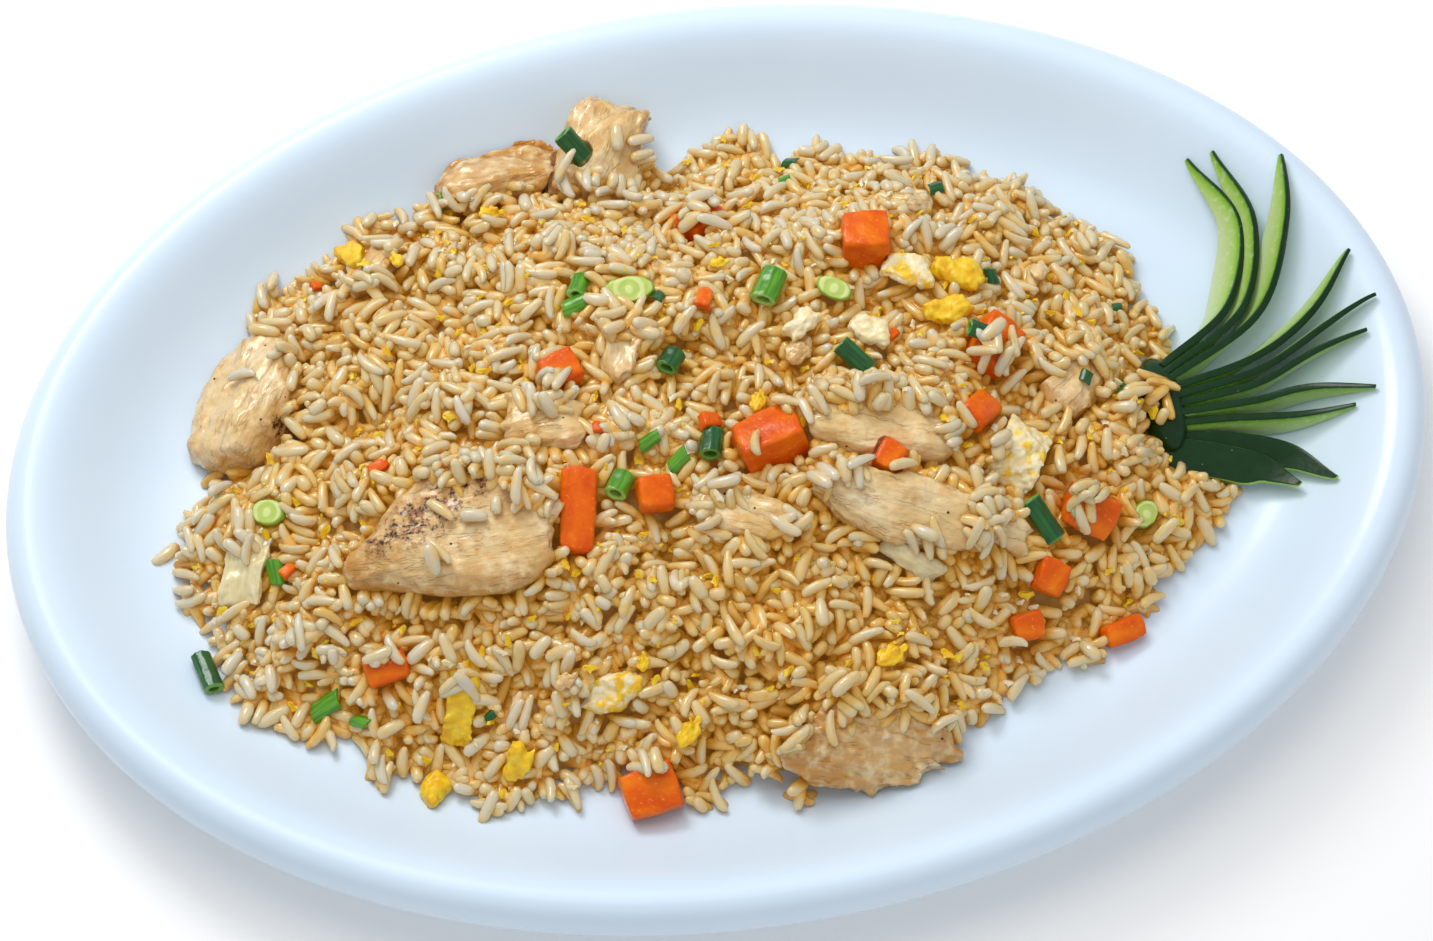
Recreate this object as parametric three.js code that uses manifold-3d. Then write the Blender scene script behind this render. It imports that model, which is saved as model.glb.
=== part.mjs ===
// A plate of chicken fried rice: an oval porcelain platter, a mound of rice with chicken, carrot,
// scallion, egg and onion pressed into it, and a cucumber fan at its right-hand end.
// Millimetres, +Z up. The origin is the middle of the foot that the platter stands on, and +X runs
// along the platter towards the cucumber.
import * as THREE from 'three';
import { mergeVertices } from 'three/addons/utils/BufferGeometryUtils.js';
import Module from 'manifold-3d';

const wasm = await Module();
wasm.setup();

// Platter
const platterLength = 356;
const platterWidth = 254;
const floorLength = 262;
const floorWidth = 160;
const floorTop = 6.5;
const floorUnderside = 1.6;
const footReach = 116;
const footThickness = 5;
const footFlare = 2; // the foot widens by this much where it meets the underside
const crestReach = 172;
const crestHeight = 27;
const lipDrop = 7;
const lipBottom = 17.5;
const wallThickness = 4.5;
const wallSteps = 5;
const undersideReaches = [138, 148, 158, 166];
const undersideLead = 4; // the underside climbs this much further out than the upper face
const lipTurns = [105, 80, 55, 30]; // degrees round the rolled lip, from below to the crest
const lipWidestTurn = 80;
const platterSides = 44;

// Rice
const riceReach = [
  117, 118, 111, 103, 90, 89, 80, 88, 98, 113, 122, 118,
  134, 134, 116, 105, 90, 86, 86, 90, 93, 97, 111, 122,
]; // half-width of the mound every 15 degrees, counterclockwise from +X
const riceRise = 27;
const riceEdge = 2.5;
const riceRings = 19;
const grainBump = 2.5;
const grainHollow = 1.4;
const grainShare = 0.28;
const pressDepth = 1.6;
const swells = [
  { x: -22, y: 52, spread: 30, height: 8 },
  { x: 34, y: 52, spread: 24, height: 7 },
  { x: 76, y: 40, spread: 26, height: 5 },
  { x: -60, y: -20, spread: 34, height: 3 },
  { x: 40, y: -30, spread: 34, height: 3 },
  { x: 3, y: 66, spread: 12, height: -7 },
];

// Cucumber
const bladeSteps = 7;
const bladeDepth = 9;
const bladeThickness = 1.8;
const bladeRest = 0.8;
const rootCentre = [112, -6.5, 12.5];
const hollowCentre = [122, -4, 10.5];

const gap = 0.3; // left between pieces that touch
const degree = Math.PI / 180;
const up = new THREE.Vector3(0, 0, 1);
const { lerp, smoothstep } = THREE.MathUtils;

// A short repeatable random sequence between 0 and 1
function randomFrom(seed) {
  let state = seed * 7919 + 1;
  return () => {
    state = (state * 48271) % 2147483647;
    return state / 2147483647;
  };
}

// The platter's level lines are ellipses: in the floor's proportion up to its edge, and past it as
// much further out across the platter as along it
const floorReach = floorLength / 2;
const lengthLead = (platterLength - platterWidth) / 2;

function acrossOf(reach) {
  return Math.max((reach * floorWidth) / floorLength, reach - lengthLead);
}

function reachOf(x, y) {
  let inside = 0;
  let outside = platterLength;
  for (let halving = 0; halving < 30; halving++) {
    const reach = (inside + outside) / 2;
    const isPast = Math.hypot(x / reach, y / acrossOf(reach)) > 1;
    if (isPast) inside = reach;
    else outside = reach;
  }
  return inside;
}

function wallHeight(reach) {
  const along = Math.max((reach - floorReach) / (crestReach - floorReach), 0);
  return lerp(floorTop, crestHeight, smoothstep(along ** 1.6, 0, 1));
}

function platterTop(x, y) {
  return wallHeight(Math.min(reachOf(x, y), crestReach));
}

// A profile of [reach, height] pairs, from the axis round to the axis, turned into nested ellipses
function turnedOval(profile) {
  const points = profile.map(([reach, height]) => new THREE.Vector2(reach, height));
  const geometry = new THREE.LatheGeometry(points, platterSides);
  geometry.rotateX(Math.PI / 2);
  const position = geometry.attributes.position;
  for (let i = 0; i < position.count; i++) {
    const reach = Math.hypot(position.getX(i), position.getY(i));
    const squeeze = reach > 0 ? acrossOf(reach) / reach : 1;
    position.setY(i, position.getY(i) * squeeze);
  }
  return geometry;
}

// The upper face from the crest inwards, as far above the glaze as lift says
function upperProfile(lift) {
  const profile = [];
  for (let step = wallSteps; step >= 0; step--) {
    const reach = lerp(floorReach, crestReach, step / wallSteps);
    profile.push([reach, wallHeight(reach) + lift]);
  }
  profile.push([0, floorTop + lift]);
  return profile;
}

function platterShape() {
  const profile = [
    [0, floorUnderside],
    [footReach - footThickness - footFlare, floorUnderside],
    [footReach - footThickness, 0],
    [footReach, 0],
    [footReach + footFlare, floorTop - wallThickness],
  ];
  for (const reach of undersideReaches) {
    profile.push([reach, wallHeight(reach - undersideLead) - wallThickness]);
  }
  profile.push([crestReach, lipBottom]);
  const lipReach = platterLength / 2 - crestReach;
  for (const turn of lipTurns) {
    const out = Math.min(Math.sin(turn * degree) / Math.sin(lipWidestTurn * degree), 1);
    const height = crestHeight - lipDrop * (1 - Math.cos(turn * degree));
    profile.push([crestReach + lipReach * out, height]);
  }
  return turnedOval(profile.concat(upperProfile(0)));
}

// Everything below the platter's upper face, for cutting what lies on it
function bedShape() {
  const profile = [
    [0, -platterWidth],
    [crestReach, -platterWidth],
  ];
  return turnedOval(profile.concat(upperProfile(gap)));
}

function toSolid(source) {
  const bare = source.clone();
  bare.deleteAttribute('normal');
  bare.deleteAttribute('uv');
  const merged = mergeVertices(bare, 1e-4);
  const corners = [];
  for (let i = 0; i < merged.index.count; i += 3) {
    const [a, b, c] = [merged.index.getX(i), merged.index.getX(i + 1), merged.index.getX(i + 2)];
    if (a !== b && b !== c && c !== a) corners.push(a, b, c);
  }
  const vertProperties = new Float32Array(merged.attributes.position.array);
  const triVerts = new Uint32Array(corners);
  return new wasm.Manifold(new wasm.Mesh({ numProp: 3, vertProperties, triVerts }));
}

function toGeometry(solid) {
  const mesh = solid.getMesh();
  const geometry = new THREE.BufferGeometry();
  geometry.setAttribute('position', new THREE.BufferAttribute(mesh.vertProperties, 3));
  geometry.setIndex(new THREE.BufferAttribute(mesh.triVerts, 1));
  geometry.computeVertexNormals();
  return geometry;
}

function largestBody(solid) {
  const bodies = solid.decompose();
  return bodies.reduce((best, body) => (body.volume() > best.volume() ? body : best));
}

// Rice: the height of the mound without its grains
function riceReachAt(angle) {
  const turn = THREE.MathUtils.euclideanModulo(angle / (2 * Math.PI), 1) * riceReach.length;
  const first = Math.floor(turn) % riceReach.length;
  const next = (first + 1) % riceReach.length;
  return lerp(riceReach[first], riceReach[next], smoothstep(turn % 1, 0, 1));
}

function riceTop(x, y) {
  const angle = Math.atan2(y, x);
  const edge = riceReachAt(angle);
  const share = Math.min(Math.hypot(x, y) / edge, 1);
  const edgeTop = platterTop(edge * Math.cos(angle), edge * Math.sin(angle)) + riceEdge;
  let height = lerp(floorTop, edgeTop, share ** 2) + riceRise * (1 - share ** 2.2) ** 0.85;
  for (const swell of swells) {
    const distance = Math.hypot(x - swell.x, y - swell.y) / swell.spread;
    height += swell.height * Math.exp(-(distance ** 2)) * (1 - share ** 4);
  }
  return height;
}

function groundHeight(x, y) {
  const onRice = Math.hypot(x, y) < riceReachAt(Math.atan2(y, x));
  return onRice ? riceTop(x, y) : platterTop(x, y);
}

// The mound's skin is a six-sided lattice of rings. A grain is a pair of neighbouring corners that
// stand up from the rest. Under each seat the skin is pressed flat.
function riceShape(seats) {
  const random = randomFrom(11);
  const ringStart = (ring) => (ring === 0 ? 0 : 1 + 3 * ring * (ring - 1));
  const corner = (ring, place) => ringStart(ring) + (ring === 0 ? 0 : place % (6 * ring));
  const skinCount = ringStart(riceRings + 1);
  const bumps = [];
  for (let i = 0; i < skinCount; i++) bumps.push((random() - 0.7) * grainHollow);
  for (let ring = 1; ring <= riceRings; ring++) {
    for (let place = 0; place < 6 * ring; place++) {
      if (random() > grainShare) continue;
      const inner = Math.round((place * (ring - 1)) / ring);
      const partner = random() < 0.5 ? corner(ring, place + 1) : corner(ring - 1, inner);
      const height = grainBump * lerp(0.7, 1.2, random());
      bumps[corner(ring, place)] = height;
      bumps[partner] = height;
    }
  }
  const positions = [];
  for (let ring = 0; ring <= riceRings; ring++) {
    for (let place = 0; place < Math.max(6 * ring, 1); place++) {
      const angle = ring === 0 ? 0 : (place / (6 * ring)) * 2 * Math.PI;
      const bump = bumps[corner(ring, place)];
      const stretch = ring === riceRings ? bump : 0;
      const distance = (riceReachAt(angle) * ring) / riceRings + stretch;
      const [x, y] = [distance * Math.cos(angle), distance * Math.sin(angle)];
      const ceilings = seats.map((seat) => seatCeiling(seat, x, y));
      positions.push(x, y, Math.min(riceTop(x, y) + bump, ...ceilings));
    }
  }
  const rimStart = ringStart(riceRings);
  const rimCount = 6 * riceRings;
  for (let place = 0; place < rimCount; place++) {
    positions.push(positions[3 * (rimStart + place)], positions[3 * (rimStart + place) + 1], 0);
  }
  positions.push(0, 0, 0);
  const faces = [];
  for (let ring = 1; ring <= riceRings; ring++) {
    for (let side = 0; side < 6; side++) {
      for (let step = 0; step < ring; step++) {
        const outer = side * ring + step;
        const inner = side * (ring - 1) + step;
        faces.push(corner(ring - 1, inner), corner(ring, outer), corner(ring, outer + 1));
        if (step === ring - 1) continue;
        faces.push(corner(ring - 1, inner), corner(ring, outer + 1), corner(ring - 1, inner + 1));
      }
    }
  }
  const underCentre = skinCount + rimCount;
  for (let place = 0; place < rimCount; place++) {
    const next = (place + 1) % rimCount;
    faces.push(rimStart + place, skinCount + place, skinCount + next);
    faces.push(rimStart + place, skinCount + next, rimStart + next);
    faces.push(skinCount + next, skinCount + place, underCentre);
  }
  const geometry = new THREE.BufferGeometry();
  geometry.setAttribute('position', new THREE.Float32BufferAttribute(positions, 3));
  geometry.setIndex(faces);
  return geometry;
}

// Shapes of what lies in the rice. Each returns a function of grow, because what a piece dents is cut
// with the same shape a gap larger.
function reshape(geometry, move) {
  const position = geometry.attributes.position;
  const point = new THREE.Vector3();
  for (let i = 0; i < position.count; i++) {
    point.fromBufferAttribute(position, i);
    move(point);
    position.setXYZ(i, point.x, point.y, point.z);
  }
  return geometry;
}

// An uneven rounded lump, such as a piece of chicken or a curd of egg
function lump({ long, wide, thick, detail = 1, taper = 0, bend = 0, rough = 0.12, seed = 1 }) {
  const squared = (value) => Math.sign(value) * Math.abs(value) ** 0.72;
  return (grow) => {
    const geometry = reshape(new THREE.IcosahedronGeometry(1, detail), (point) => {
      const wave = Math.sin(3.1 * point.x + 2 * seed) * Math.cos(2.7 * point.y + seed);
      const fineWave = Math.sin(5.3 * point.y + 3.9 * point.x + 5 * seed);
      const swell = 1 + rough * (wave + 0.6 * fineWave);
      point.set(squared(point.x), squared(point.y), squared(point.z) * 0.94);
      point.y *= 1 - taper * point.x;
      point.multiplyScalar(swell);
      point.z += bend * (0.4 - point.x ** 2);
    });
    return geometry.scale(long / 2 + grow, wide / 2 + grow, thick / 2 + grow);
  };
}

// A hand-cut die with worn corners
function die({ long, wide, high, skew = 0.1 }) {
  return (grow) => {
    const geometry = reshape(new THREE.BoxGeometry(1, 1, 1, 2, 2, 2), (point) => {
      const faces = [point.x, point.y, point.z].filter((value) => Math.abs(value) > 0.4).length;
      point.multiplyScalar(faces === 3 ? 0.9 : faces === 2 ? 0.96 : 1);
      point.x += skew * point.z * point.y;
      point.y *= 1 + skew * point.x;
    });
    return geometry.scale(long + 2 * grow, wide + 2 * grow, high + 2 * grow);
  };
}

// A length of hollow scallion leaf, flattened. What it is pressed into doesn't fill its bore.
function tube({ long, wide, high, wall = 1 }) {
  return (grow) => {
    const half = long / 2 + grow;
    const bore = grow > 0 ? 0 : 1 - (2 * wall) / high;
    const profile = [[bore, -half], [1, -half], [1, half], [bore, half], [bore, -half]];
    const points = profile.map(([radius, along]) => new THREE.Vector2(radius, along));
    const geometry = new THREE.LatheGeometry(points, 8);
    geometry.rotateZ(Math.PI / 2);
    return geometry.scale(1, wide / 2 + grow, high / 2 + grow);
  };
}

// A slanting cut across a thick pale scallion stalk
function slice({ long, wide, thick }) {
  return (grow) => {
    const half = thick / 2 + grow;
    const profile = [[0, -half], [0.9, -half], [1, 0], [0.9, half], [0, half]];
    const points = profile.map(([radius, height]) => new THREE.Vector2(radius, height));
    const geometry = new THREE.LatheGeometry(points, 10);
    geometry.rotateX(Math.PI / 2);
    return geometry.scale(long / 2 + grow, wide / 2 + grow, 1);
  };
}

// A thin sheet curled along its length, such as fried egg or a layer of onion
function curl({ long, wide, thick, turn, wave = 0 }) {
  return (grow) => {
    const size = [long + 2 * grow, wide + 2 * grow, thick + 2 * grow];
    return reshape(new THREE.BoxGeometry(...size, 6, 2, 1), (point) => {
      const radius = long / (turn * degree);
      const angle = point.x / radius;
      const ripple = wave * Math.sin(4 * angle + point.y / 2);
      const distance = radius + point.z + ripple;
      point.x = distance * Math.sin(angle);
      point.z = distance * Math.cos(angle) - radius;
    });
  };
}

// One slice of the cucumber fan: it stands on its cut edge on the platter, its skin edge on top, and
// leans over to the left of its path
function blade({ path, lean, depth = bladeDepth, raise = 0, isSkinUp = false }) {
  const spine = new THREE.CatmullRomCurve3(path.map(([x, y]) => new THREE.Vector3(x, y, 0)));
  return (grow) =>
    reshape(new THREE.BoxGeometry(1, 1, 1, bladeSteps, 1, 1), (point) => {
      const along = point.x + 0.5;
      const isSkinEdge = point.z > 0;
      const narrowing = 1 - 0.86 * Math.max((along - 0.5) / 0.5, 0) ** 1.5;
      const depthHere = depth * narrowing;
      const thicknessHere = bladeThickness * lerp(0.4, 1, narrowing);
      const leanHere = degree * (isSkinUp ? lean : lean * smoothstep(along, 0, 0.5));
      const tangent = spine.getTangent(along);
      const left = new THREE.Vector3().crossVectors(up, tangent).normalize();
      const [sine, cosine] = [Math.sin(leanHere), Math.cos(leanHere)];
      const inward = left.clone().multiplyScalar(sine).addScaledVector(up, -cosine);
      const across = left.clone().multiplyScalar(cosine).addScaledVector(up, sine);
      const skin = spine.getPoint(along);
      const rest = (Math.abs(sine) * thicknessHere) / 2 + bladeRest + raise;
      skin.z = platterTop(skin.x, skin.y) + rest + depthHere * cosine;
      const isEnd = along === 0 || along === 1;
      const offEnd = isEnd ? (2 * along - 1) * grow : 0;
      const offSkin = isSkinEdge ? -grow : depthHere + grow;
      const offMiddle = Math.sign(point.y) * (thicknessHere / 2 + grow);
      point.copy(skin).addScaledVector(tangent, offEnd).addScaledVector(inward, offSkin);
      point.addScaledVector(across, offMiddle);
    });
}

// Places on the rice. x and y are on the platter and the turns are in degrees: turn about the
// surface's normal, tilt raises the left end and roll raises the far side. A piece that sinks into
// the rice has its lift from the smooth surface to its middle. Any other is pressed in by the same
// small depth, and the rice is flat under it.
function groundNormal(x, y) {
  const reach = 6;
  const slopeX = (groundHeight(x + reach, y) - groundHeight(x - reach, y)) / (2 * reach);
  const slopeY = (groundHeight(x, y + reach) - groundHeight(x, y - reach)) / (2 * reach);
  return new THREE.Vector3(-slopeX, -slopeY, 1).normalize();
}

function seatFor(shape, { x, y, lift, turn = 0, tilt = 0, roll = 0 }) {
  const turned = new THREE.Euler(roll * degree, tilt * degree, turn * degree, 'ZYX');
  const trial = shape(0).applyQuaternion(new THREE.Quaternion().setFromEuler(turned));
  trial.computeBoundingBox();
  trial.computeBoundingSphere();
  const normal = groundNormal(x, y);
  const rise = lift ?? -trial.boundingBox.min.z - pressDepth;
  const middle = new THREE.Vector3(x, y, groundHeight(x, y)).addScaledVector(normal, rise);
  const lying = new THREE.Quaternion().setFromUnitVectors(up, normal);
  lying.multiply(new THREE.Quaternion().setFromEuler(turned));
  const matrix = new THREE.Matrix4().compose(middle, lying, new THREE.Vector3(1, 1, 1));
  const reach = trial.boundingSphere.radius + riceReach[0] / riceRings;
  return { matrix, middle, normal, reach, depth: gap - trial.boundingBox.min.z };
}

function seatCeiling({ middle, normal, reach, depth }, x, y) {
  if (Math.hypot(x - middle.x, y - middle.y) > reach) return Infinity;
  const fall = normal.x * (x - middle.x) + normal.y * (y - middle.y) + depth;
  return middle.z - fall / normal.z;
}

const foods = {
  porcelain: { color: 0xdfe9f2, roughness: 0.12, metalness: 0 },
  rice: { color: 0xd8b98a, roughness: 0.45, metalness: 0 },
  chicken: { color: 0xd7ae74, roughness: 0.5, metalness: 0 },
  carrot: { color: 0xe8641c, roughness: 0.4, metalness: 0 },
  scallion: { color: 0x3f7f2a, roughness: 0.4, metalness: 0 },
  scallionPale: { color: 0xb9cf7a, roughness: 0.4, metalness: 0 },
  egg: { color: 0xf0bf3a, roughness: 0.45, metalness: 0 },
  onion: { color: 0xe2d3a8, roughness: 0.35, metalness: 0 },
  cucumber: { color: 0x234d25, roughness: 0.35, metalness: 0 },
};

const toppings = [];

function addTopping(name, food, shape, place) {
  const seat = seatFor(shape, place);
  toppings.push({ name, food, shapes: [shape], dents: [shape], seat, isSunk: 'lift' in place });
}

const addChicken = (name, place, size) => addTopping(`chicken_${name}`, 'chicken', lump(size), place);
const addCarrot = (name, place, size) => addTopping(`carrot_${name}`, 'carrot', die(size), place);
const addTube = (name, place, size) => addTopping(`scallion_${name}`, 'scallion', tube(size), place);
const addSlice = (name, place, size) => {
  addTopping(`scallion_${name}`, 'scallionPale', slice(size), place);
};
const addCurd = (name, place, size) => {
  addTopping(`egg_${name}`, 'egg', lump({ rough: 0.22, ...size }), place);
};
const addFold = (name, place, size) => addTopping(`egg_${name}`, 'egg', curl(size), place);
const addOnion = (name, place, size) => addTopping(`onion_${name}`, 'onion', curl(size), place);

// Chicken. The pieces with a lift are pressed deep into the rice.
addChicken('seared', { x: -70, y: -20, lift: 1, turn: -3 },
  { long: 60, wide: 36, thick: 15, detail: 2, taper: -0.12, bend: 0.2, rough: 0.08, seed: 2 });
addChicken('left', { x: -114, y: 36, lift: 4, turn: 72, tilt: 6 },
  { long: 43, wide: 29, thick: 20, detail: 2, taper: 0.1, rough: 0.09, seed: 5 });
addChicken('far_slab', { x: -46, y: 88, lift: 5, turn: 14, roll: -18 },
  { long: 44, wide: 25, thick: 15, detail: 2, taper: -0.2, rough: 0.12, seed: 7 });
addChicken('far_hump', { x: -16, y: 92, lift: 7, turn: 62 },
  { long: 36, wide: 25, thick: 20, detail: 2, taper: 0.15, rough: 0.12, seed: 9 });
addChicken('middle', { x: 37, y: -10, lift: 2, turn: -14, tilt: 4 },
  { long: 38, wide: 19, thick: 13, detail: 2, taper: -0.15, rough: 0.1, seed: 4 });
addChicken('long', { x: 40, y: -33, lift: 2, turn: -20, roll: 12 },
  { long: 49, wide: 19, thick: 13, detail: 2, taper: 0.12, rough: 0.09, seed: 6 });
addChicken('torn', { x: 22, y: -84, lift: 3, turn: -42, roll: -6 },
  { long: 42, wide: 28, thick: 12, detail: 2, taper: 0.2, rough: 0.2, seed: 8 });
addChicken('shreds', { x: -43, y: 6, lift: 1, turn: -12 },
  { long: 25, wide: 17, thick: 10, taper: 0.1, rough: 0.18, seed: 3 });
addChicken('strip', { x: 1, y: -28, lift: 1, turn: -24 },
  { long: 29, wide: 13, thick: 9, taper: 0.2, seed: 12 });
addChicken('browned', { x: -78, y: 62, lift: 2, turn: 60 },
  { long: 17, wide: 11, thick: 9, seed: 13 });
addChicken('right', { x: 90, y: 0, lift: 0.5, turn: 30 },
  { long: 23, wide: 16, thick: 9, rough: 0.18, seed: 14 });
addChicken('right_low', { x: 63, y: -40, lift: 0.5, turn: -30 },
  { long: 18, wide: 12, thick: 9, seed: 15 });
addChicken('flakes', { x: -21, y: 21, lift: 1, turn: 75 },
  { long: 19, wide: 11, thick: 8, rough: 0.18, seed: 16 });

// Carrot dice, numbered from the far left
addCarrot('01', { x: -37, y: 18, turn: 20, tilt: 15 }, { long: 10, wide: 9, high: 6 });
addCarrot('02', { x: 6, y: 60, lift: 1, turn: 35, roll: 20 }, { long: 12, wide: 10, high: 8 });
addCarrot('03', { x: 44, y: 42, lift: 2, turn: -8, tilt: -12 }, { long: 12.5, wide: 12, high: 11 });
addCarrot('04', { x: 10, y: -10, lift: 1.5, turn: 15, roll: -18 }, { long: 17, wide: 12, high: 11 });
addCarrot('05', { x: -39, y: -20, lift: 1.5, turn: 78, tilt: -8 }, { long: 22, wide: 9, high: 8 });
addCarrot('06', { x: -20, y: -19, turn: 0, tilt: 10 }, { long: 9, wide: 9, high: 6 });
addCarrot('07', { x: 70, y: 9, lift: 1.5, turn: 55, roll: 15 }, { long: 15, wide: 11, high: 10 });
addCarrot('08', { x: 62, y: -10, turn: 40, tilt: 20 }, { long: 11, wide: 8, high: 6 });
addCarrot('09', { x: 85, y: -36, lift: 1.5, turn: -28, roll: 25 }, { long: 13, wide: 11, high: 10 });
addCarrot('10', { x: 72, y: -51, turn: 60 }, { long: 9, wide: 8, high: 6 });
addCarrot('11', { x: 64, y: -61, turn: 10, tilt: -15 }, { long: 8, wide: 7, high: 6 });
addCarrot('12', { x: 88, y: -63, lift: 3, turn: 15 }, { long: 11, wide: 6, high: 6 });
addCarrot('13', { x: -90, y: -46, turn: 8, tilt: 12 }, { long: 11, wide: 7, high: 6 });
addCarrot('14', { x: -33, y: -84, lift: 5, turn: 10, roll: -6 }, { long: 14, wide: 12, high: 11 });
addCarrot('15', { x: 37, y: -21, lift: 5, turn: 50 }, { long: 8, wide: 7, high: 6 });

// Scallion: green lengths of leaf, and pale slices of the stalk
addTube('01', { x: -24, y: 97, lift: 17, turn: -55, tilt: 10 }, { long: 9, wide: 6, high: 4 });
addTube('02', { x: -29, y: 40, turn: 70, tilt: 15 }, { long: 7, wide: 5, high: 4 });
addTube('03', { x: -10, y: 16, turn: 55, tilt: 15 }, { long: 6, wide: 6, high: 4.5 });
addTube('04', { x: -28, y: -15, turn: 60, tilt: 20 }, { long: 7, wide: 6, high: 4.5 });
addTube('05', { x: -4, y: -8, turn: 75, tilt: 15 }, { long: 8, wide: 6, high: 4.5 });
addTube('06', { x: 18, y: 33, turn: 60, tilt: 8 }, { long: 10, wide: 7, high: 4.5 });
addTube('07', { x: 35, y: 9, lift: 2.2, turn: -50, tilt: 12 }, { long: 10, wide: 6, high: 4 });
addTube('08', { x: 66, y: 10, lift: 8, turn: -20, tilt: 8 }, { long: 8, wide: 5, high: 4 });
addTube('09', { x: 72, y: -38, lift: 3, turn: -60, tilt: 5 }, { long: 12, wide: 6, high: 4 });
addTube('10', { x: 102, y: -5, lift: 2, turn: 50, tilt: 20 }, { long: 8, wide: 6, high: 5 });
addTube('11', { x: -135, y: -36, lift: 2.5, turn: -78 }, { long: 11, wide: 5.5, high: 4 });
addTube('12', { x: -58, y: 80, lift: 4, turn: 10, tilt: 25 }, { long: 6, wide: 6, high: 4.5 });
addSlice('13', { x: -17, y: 37, turn: 0, roll: 12 }, { long: 14, wide: 7.5, thick: 2.6 });
addSlice('14', { x: 34, y: 30, turn: -35, roll: 10 }, { long: 10, wide: 6, thick: 2.4 });
addSlice('15', { x: -113, y: 0, lift: 2, turn: -25, roll: 8 }, { long: 10, wide: 7, thick: 2.4 });
addSlice('16', { x: 100, y: -37, turn: 40 }, { long: 8.5, wide: 6.5, thick: 2.6 });

// Egg: yellow curds, and two folded sheets
addCurd('01', { x: -84, y: 72, turn: -60 }, { long: 14, wide: 7, thick: 5, seed: 21 });
addCurd('02', { x: 66, y: 31, turn: -20 }, { long: 14, wide: 8, thick: 5, seed: 22 });
addCurd('03', { x: 53, y: 32, lift: 2, turn: -25 }, { long: 13, wide: 8, thick: 5, seed: 23 });
addCurd('04', { x: 61, y: 20, lift: 2, turn: 12 }, { long: 12, wide: 7, thick: 5, seed: 24 });
addCurd('05', { x: -38, y: -62, lift: 1, turn: 15 }, { long: 15, wide: 9, thick: 6, seed: 25 });
addCurd('06', { x: -63, y: -73, lift: 1, turn: 70 }, { long: 11, wide: 7, thick: 5, seed: 26 });
addCurd('07', { x: -84, y: -76, lift: 2, turn: 40 }, { long: 9, wide: 7, thick: 6, seed: 27 });
addCurd('08', { x: 24, y: 21, turn: 35 }, { long: 11, wide: 6, thick: 4.5, seed: 28 });
addCurd('09', { x: 41, y: 17, turn: -40 }, { long: 10, wide: 7, thick: 4.5, seed: 29 });
addFold('10', { x: 70, y: -22, lift: 3, turn: 55, tilt: -10 },
  { long: 22, wide: 12, thick: 2.2, turn: 130, wave: 0.6 });
addFold('11', { x: -74, y: -58, lift: 2, turn: 70, roll: 10 },
  { long: 22, wide: 7, thick: 2.2, turn: 90, wave: 0.8 });

addOnion('01', { x: 38, y: -45, lift: 1.6, turn: -40, roll: 25 },
  { long: 17, wide: 6, thick: 1.6, turn: 80 });
addOnion('02', { x: -121, y: -12, lift: 1.8, turn: 70 },
  { long: 18, wide: 11, thick: 2, turn: 60, wave: 0.8 });

// Cucumber fan: slices of one wedge, still joined at the end that is tucked into the rice
const blades = [
  { path: [[114, 3], [135, 17], [143, 38], [134, 59]], lean: 42 },
  { path: [[114, 0.7], [139, 16], [146, 37], [140, 58]], lean: 36 },
  { path: [[114, -1.6], [143, 14], [153, 33], [156, 51]], lean: 36 },
  { path: [[114, -3.9], [138, 1], [155, 9], [166, 21]], lean: 28 },
  { path: [[114, -6.2], [137, -3], [155, 3], [169, 7]], lean: 20 },
  { path: [[114, -8.5], [136, -6.5], [152, -2], [165, -1]], lean: 12 },
  { path: [[114, -10.8], [134, -11], [149, -11], [163, -17]], lean: 2 },
  { path: [[114, -13.1], [130, -14.5], [145, -17], [158, -19]], lean: -4, depth: 8 },
  { path: [[113, -14.5], [130, -17.5], [142, -24], [149, -37]], lean: -62, isSkinUp: true },
  { path: [[112, -16], [124, -20], [135, -26], [141, -35]], lean: -76, raise: 2.2, isSkinUp: true },
];
const rootLump = lump({ long: 12, wide: 27, thick: 11, rough: 0.03 });
const fanRoot = (grow) => rootLump(grow).translate(...rootCentre);
const hollowLump = lump({ long: 26, wide: 40, thick: 36, rough: 0 });
const fanHollow = () => hollowLump(0).translate(...hollowCentre); // the rice keeps clear of the slices
const skinBlades = blades.filter(({ isSkinUp }) => isSkinUp);
toppings.push({
  name: 'cucumber_fan',
  food: 'cucumber',
  shapes: [fanRoot, ...blades.map(blade)],
  dents: [fanRoot, fanHollow, ...skinBlades.map(blade)],
  seat: { matrix: new THREE.Matrix4(), middle: new THREE.Vector3() },
  isSunk: true,
});

// The rice lies on the platter, and each topping is cut where it meets the platter. What a topping
// sinks into, rice or an earlier topping, is cut by the topping's own shape a gap larger.
const bed = toSolid(bedShape());
const lyingSeats = toppings.filter((topping) => !topping.isSunk).map((topping) => topping.seat);
const riceSolid = toSolid(riceShape(lyingSeats)).subtract(bed);
const pieces = [{ name: 'rice', food: 'rice', origin: new THREE.Vector3(), solid: riceSolid }];
for (const { name, food, shapes, dents, seat, isSunk } of toppings) {
  const join = (parts, grow) => {
    const solids = parts.map((shape) => toSolid(shape(grow).applyMatrix4(seat.matrix)));
    return solids.reduce((whole, solid) => whole.add(solid));
  };
  const dent = join(dents, gap);
  for (const piece of pieces) {
    if (isSunk || piece.name !== 'rice') piece.solid = piece.solid.subtract(dent);
  }
  pieces.push({ name, food, origin: seat.middle, solid: join(shapes, 0).subtract(bed) });
}

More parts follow.
